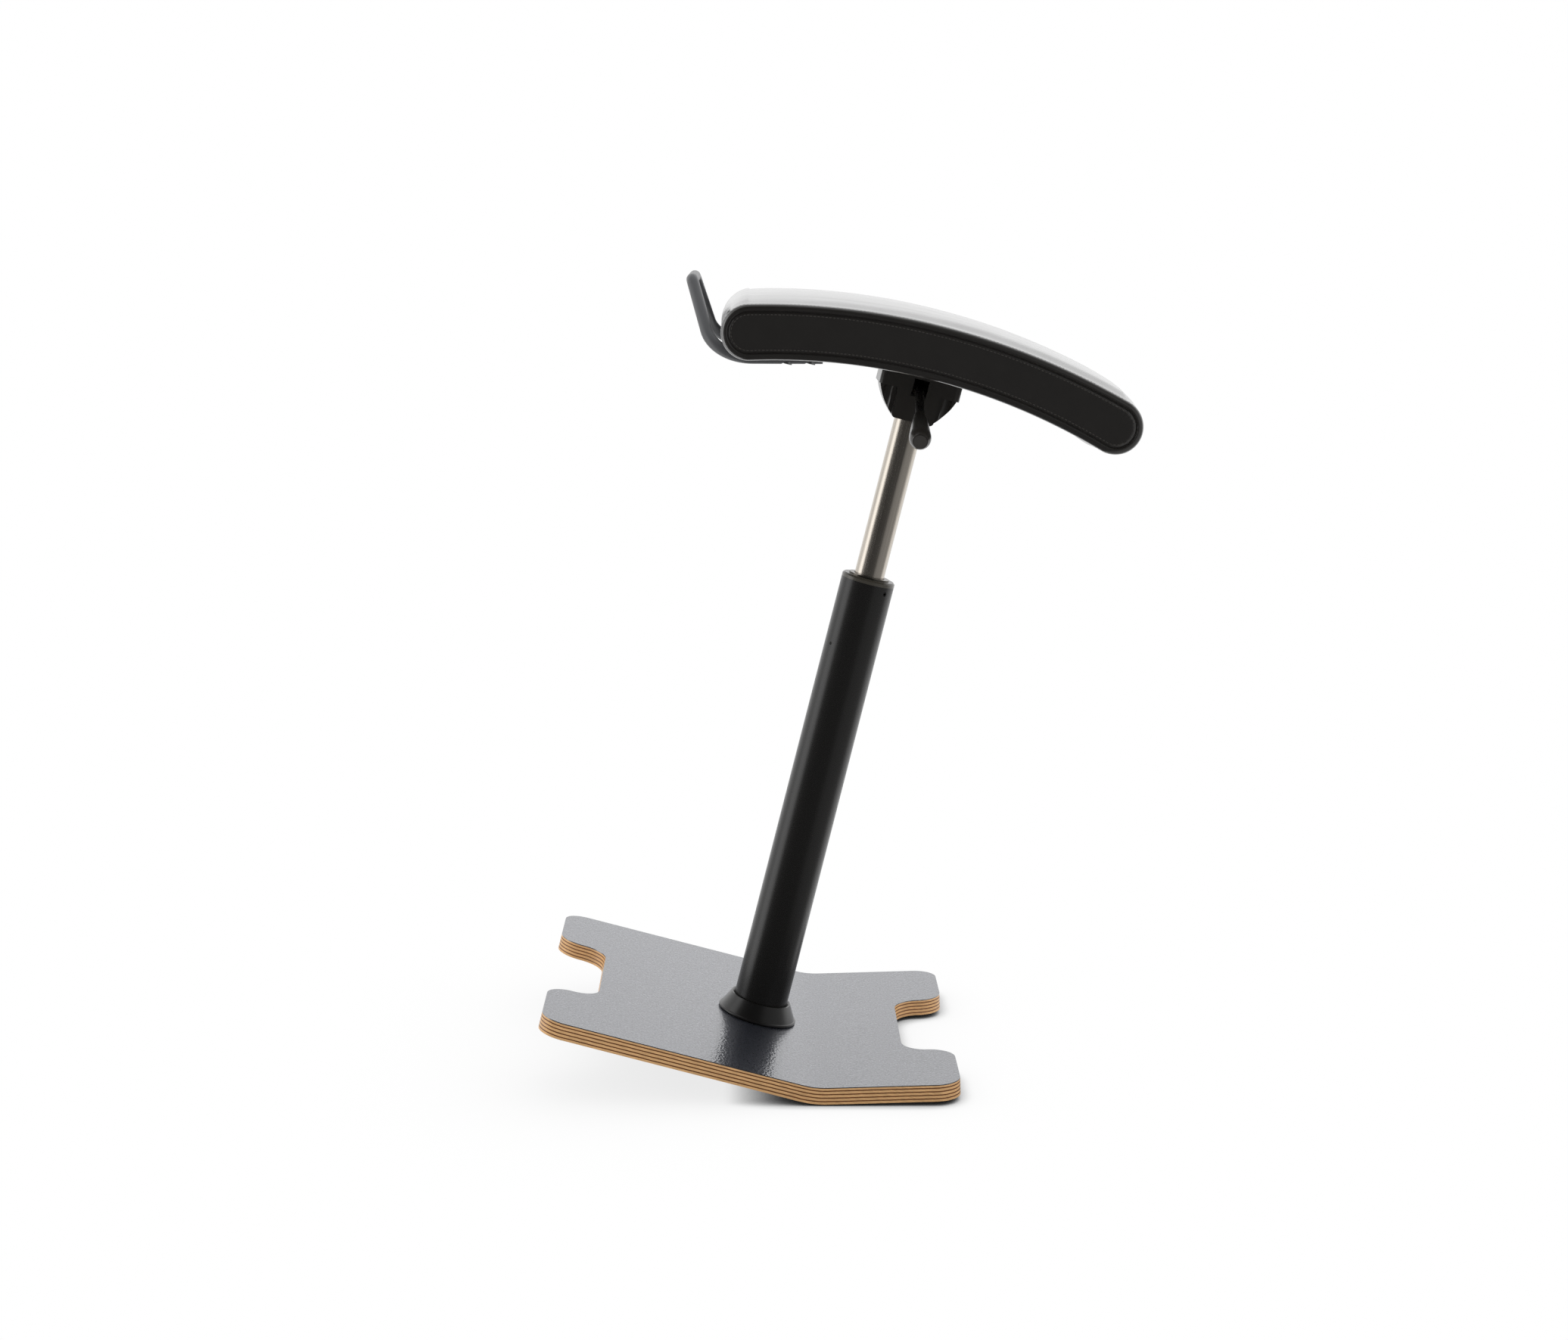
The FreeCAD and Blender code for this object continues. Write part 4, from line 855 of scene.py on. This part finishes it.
class PERCH_OT_column(bpy.types.Operator):
    """Column: tube, bush, collar, cylinder and what is inside them"""
    bl_idname = "perch.column"
    bl_label = "Column"

    def execute(self, context):
        colours = context.scene.perch_colours
        tube = coated_finish("satin_powder_coat", colours.powder_coat, 1.1, 0.27)
        collar = moulded_finish("moulded_collar_nylon", colours.collar)
        moulding = moulded_finish("moulded_nylon", colours.moulding)
        bush = moulded_finish("moulded_acetal", colours.bush)
        cap = moulded_finish("moulded_polypropylene", colours.grip_cap)
        oxide = plain_metal_finish("black_oxide", "#2b2a29", 0.42, 0.8)
        trim = plain_metal_finish("black_nickel", "#6f6b65", 0.24, 0.7)
        nickel = brushed_finish(colours)
        zinc = plain_metal_finish("zinc_plate", "#b4b7b8", 0.34, 1.4)
        steel = plain_metal_finish("ground_steel", "#a3a3a2", 0.26, 0.8)
        chrome = plain_metal_finish("hard_chrome", "#cfd0d2", 0.12, 0.6)
        brass = plain_metal_finish("stamped_brass", "#b8954e", 0.3, 1.0)
        aluminium = plain_metal_finish("turned_aluminium", "#c4c5c6", 0.3, 0.7)
        finishes = {
            tube: ("stand_tube", "foot_flange", "clamp_plate", "lever_rod"),
            collar: ("collar",),
            moulding: ("rod_guide_plug", "lever_housing", "lever_grip"),
            bush: ("guide_bush",),
            cap: ("grip_cap",),
            nickel: ("pressure_cylinder",),
            trim: ("bush_ring",),
            oxide: ("set_screw", "guide_rivet", "lever_pivot"),
            zinc: ("base_screws", "foot_screws", "housing_screws", "seat_nuts",
                   "handle_screws", "release_pin", "rod_washer"),
            steel: ("lower_race", "upper_race", "rod_clip"),
            chrome: ("piston_rod", "bearing_balls"),
            brass: ("bearing_cage",),
            aluminium: ("piston",),
        }
        for material, names in finishes.items():
            for name in names:
                dress(name, material)
        for name, width in (("lever_housing", 0.6), ("lever_grip", 0.4), ("guide_bush", 0.25),
                            ("collar", 0.3)):
            ease_edges(name, width)
        return {"FINISHED"}


class PERCH_OT_handle_and_shell(bpy.types.Operator):
    """Grab handle and the wooden shell inside the seat"""
    bl_idname = "perch.handle_and_shell"
    bl_label = "Handle and shell"

    def execute(self, context):
        colours = context.scene.perch_colours
        dress("handle_bar", coated_finish("anthracite_powder_coat", colours.handle, 0.9, 0.34))
        dress("seat_shell", raw_plywood_finish())
        return {"FINISHED"}


# The studio

# How bright the studio looks where a surface mirrors it, by the compass angle round the
# stool: 0 is the camera's side, minus is left. White sheets stand behind and at the left.
MIRRORED_STUDIO = ((-180, 1.0), (-150, 1.0), (-110, 0.8), (-94, 1.8), (-76, 1.8), (-69, 0.14),
                   (-30, 0.06), (20, 0.07), (34, 0.26), (94, 0.34), (110, 1.0), (180, 1.0))
FILL_LIGHT = 0.55


def mirrored_studio(tree, way):
    """Brightness of the mirrored studio toward a direction or a place on the floor."""
    apart = add_node(tree, "ShaderNodeSeparateXYZ", {"Vector": way})
    toward = add_maths(tree, "MULTIPLY", apart.outputs["Y"], -1.0)
    angle = add_maths(tree, "ARCTAN2", apart.outputs["X"], toward)
    ramp = add_node(tree, "ShaderNodeValToRGB",
                    {"Fac": add_range(tree, angle, 0.0, 1.0, -math.pi, math.pi)})
    stops = ramp.color_ramp.elements
    for degrees, grey in MIRRORED_STUDIO[1:-1]:
        stops.new((degrees + 180) / 360).color = (grey, grey, grey, 1.0)
    stops[0].color = stops[-1].color = linear("#ffffff")
    return ramp.outputs["Color"]


def studio_floor(studio):
    """Seamless white floor whose glow carries a painted contact shadow and painted soft shade near
    the stool.
    """
    side = studio.floor / 2
    mesh = bpy.data.meshes.new("studio_floor")
    mesh.from_pydata([(-side, -side, 0), (side, -side, 0), (side, side, 0), (-side, side, 0)],
                     [], [(0, 1, 2, 3)])
    material = bpy.data.materials.new("white_seamless_paper")
    material.use_nodes = True
    tree = material.node_tree
    tree.nodes.clear()
    output = add_node(tree, "ShaderNodeOutputMaterial")
    paths = add_node(tree, "ShaderNodeLightPath").outputs
    place = add_node(tree, "ShaderNodeTexCoord").outputs["Object"]
    paper = add_node(tree, "ShaderNodeBsdfDiffuse", {"Color": linear("#ebebeb")})
    # Painted shadow: ambient occlusion dims the floor's white glow close under the stool and softly
    # farther out, in place of a lamp's shadow.
    near, wide = (add_node(tree, "ShaderNodeAmbientOcclusion", {"Distance": reach * MM},
                           samples=12).outputs["AO"] for reach in (22.0, 220.0))
    painted_shade = add_maths(tree, "MULTIPLY", add_range(tree, near, 0.01, 1.0, 0.15, 0.8),
                      add_range(tree, wide, 0.80, 1.0))
    # Mirrored rays see the floor as bright as the studio lies on that side.
    dim = add_maths(tree, "SUBTRACT", 1.0, mirrored_studio(tree, place))
    lost = add_maths(tree, "MULTIPLY", paths["Is Glossy Ray"], dim)
    kept = add_maths(tree, "SUBTRACT", 1.0, lost)
    white = add_node(tree, "ShaderNodeEmission",
                     {"Color": linear("#ffffff"),
                      "Strength": add_maths(tree, "MULTIPLY", painted_shade, kept)})
    seen = add_maths(tree, "MAXIMUM", paths["Is Camera Ray"], paths["Is Glossy Ray"])
    through = add_maths(tree, "MAXIMUM", seen, paths["Is Transmission Ray"])
    mixed = add_node(tree, "ShaderNodeMixShader",
                     {0: through, 1: paper.outputs["BSDF"], 2: white.outputs["Emission"]})
    tree.links.new(mixed.outputs["Shader"], output.inputs["Surface"])
    mesh.materials.append(material)
    floor = bpy.data.objects.new("studio_floor", mesh)
    bpy.context.scene.collection.objects.link(floor)


def studio_world():
    """White all round for the camera; mirrored rays see the studio's sheets and its dim room,
    darker overhead; the soft fill that lights the stool is plain grey."""
    world = bpy.data.worlds.new("studio")
    bpy.context.scene.world = world
    world.use_nodes = True
    tree = world.node_tree
    tree.nodes.clear()
    output = add_node(tree, "ShaderNodeOutputWorld")
    paths = add_node(tree, "ShaderNodeLightPath").outputs
    way = add_node(tree, "ShaderNodeTexCoord").outputs["Generated"]
    apart = add_node(tree, "ShaderNodeSeparateXYZ", {"Vector": way})
    overhead = add_range(tree, apart.outputs["Z"], 1.0, 0.4, 0.4, 0.85,
                         interpolation_type="SMOOTHSTEP")
    sheets = add_maths(tree, "MULTIPLY", mirrored_studio(tree, way), overhead)
    mirrored = add_maths(tree, "MULTIPLY", paths["Is Glossy Ray"], sheets)
    seen = add_maths(tree, "MAXIMUM", paths["Is Camera Ray"], mirrored)
    through = add_maths(tree, "MAXIMUM", seen, paths["Is Transmission Ray"])
    diffuse = add_maths(tree, "MULTIPLY", paths["Is Diffuse Ray"], FILL_LIGHT)
    sky = add_node(tree, "ShaderNodeBackground",
                   {"Color": linear("#ffffff"),
                    "Strength": add_maths(tree, "MAXIMUM", through, diffuse)})
    tree.links.new(sky.outputs["Background"], output.inputs["Surface"])


def softbox(name, place, target, side, power):
    """A square lamp that faces a point; the mirrored studio alone makes the highlights."""
    lamp = bpy.data.lights.new(name, "AREA")
    lamp.shape = "SQUARE"
    lamp.size = side
    lamp.energy = power
    item = bpy.data.objects.new(name, lamp)
    item.location = place
    item.rotation_euler = (Vector(target) - Vector(place)).to_track_quat("-Z", "Y").to_euler()
    item.visible_glossy = False
    bpy.context.scene.collection.objects.link(item)


class PERCH_OT_studio(bpy.types.Operator):
    """White floor, soft lamps and the level camera of the photograph"""
    bl_idname = "perch.studio"
    bl_label = "Studio"

    def execute(self, context):
        scene = context.scene
        studio = scene.perch_studio
        studio_floor(studio)
        studio_world()
        softbox("top_softbox", (0.1, 0.5, 2.6), (0.0, 0.0, 0.3), 1.6, 22.0)
        softbox("left_softbox", (-2.2, 0.9, 1.5), (0.0, 0.0, 0.4), 1.2, 14.0)
        softbox("right_softbox", (2.3, 0.7, 1.4), (0.0, 0.0, 0.4), 1.2, 14.0)
        camera = bpy.data.cameras.new("camera")
        camera.sensor_fit = "HORIZONTAL"
        camera.sensor_width = 36.0
        camera.lens = studio.lens
        camera.shift_x = (PHOTO_WIDTH / 2 - studio.centre_u) / PHOTO_WIDTH
        camera.shift_y = (studio.centre_v - PHOTO_HEIGHT / 2) / PHOTO_WIDTH
        item = bpy.data.objects.new("camera", camera)
        item.location = (studio.camera_x, -studio.distance, studio.height)
        item.rotation_euler = (math.radians(90), 0.0, 0.0)
        scene.collection.objects.link(item)
        scene.camera = item
        scene.view_settings.view_transform = "Standard"
        return {"FINISHED"}


class PERCH_PT_panel(bpy.types.Panel):
    """Lists the stool's operators"""
    bl_idname = "PERCH_PT_panel"
    bl_label = "Perch stool"
    bl_space_type = "VIEW_3D"
    bl_region_type = "UI"
    bl_category = "Perch stool"

    def draw(self, context):
        for operator in OPERATORS:
            self.layout.operator(operator.bl_idname)


GROUPS = (SeatPadSizes, BoardSizes, StudioSizes, FinishColours)
OPERATORS = (PERCH_OT_board, PERCH_OT_column, PERCH_OT_handle_and_shell, PERCH_OT_seat_cover,
             PERCH_OT_underside_lining, PERCH_OT_studio)


def register():
    for item in GROUPS + OPERATORS + (PERCH_PT_panel,):
        bpy.utils.register_class(item)
    bpy.types.Scene.perch_pad = PointerProperty(type=SeatPadSizes)
    bpy.types.Scene.perch_board = PointerProperty(type=BoardSizes)
    bpy.types.Scene.perch_studio = PointerProperty(type=StudioSizes)
    bpy.types.Scene.perch_colours = PointerProperty(type=FinishColours)


def unregister():
    del bpy.types.Scene.perch_colours
    del bpy.types.Scene.perch_studio
    del bpy.types.Scene.perch_board
    del bpy.types.Scene.perch_pad
    for item in reversed(GROUPS + OPERATORS + (PERCH_PT_panel,)):
        bpy.utils.unregister_class(item)


def main():
    register()
    bpy.ops.perch.board()
    bpy.ops.perch.column()
    bpy.ops.perch.handle_and_shell()
    bpy.ops.perch.seat_cover()
    bpy.ops.perch.underside_lining()
    bpy.ops.perch.studio()


if __name__ == "__main__":
    main()
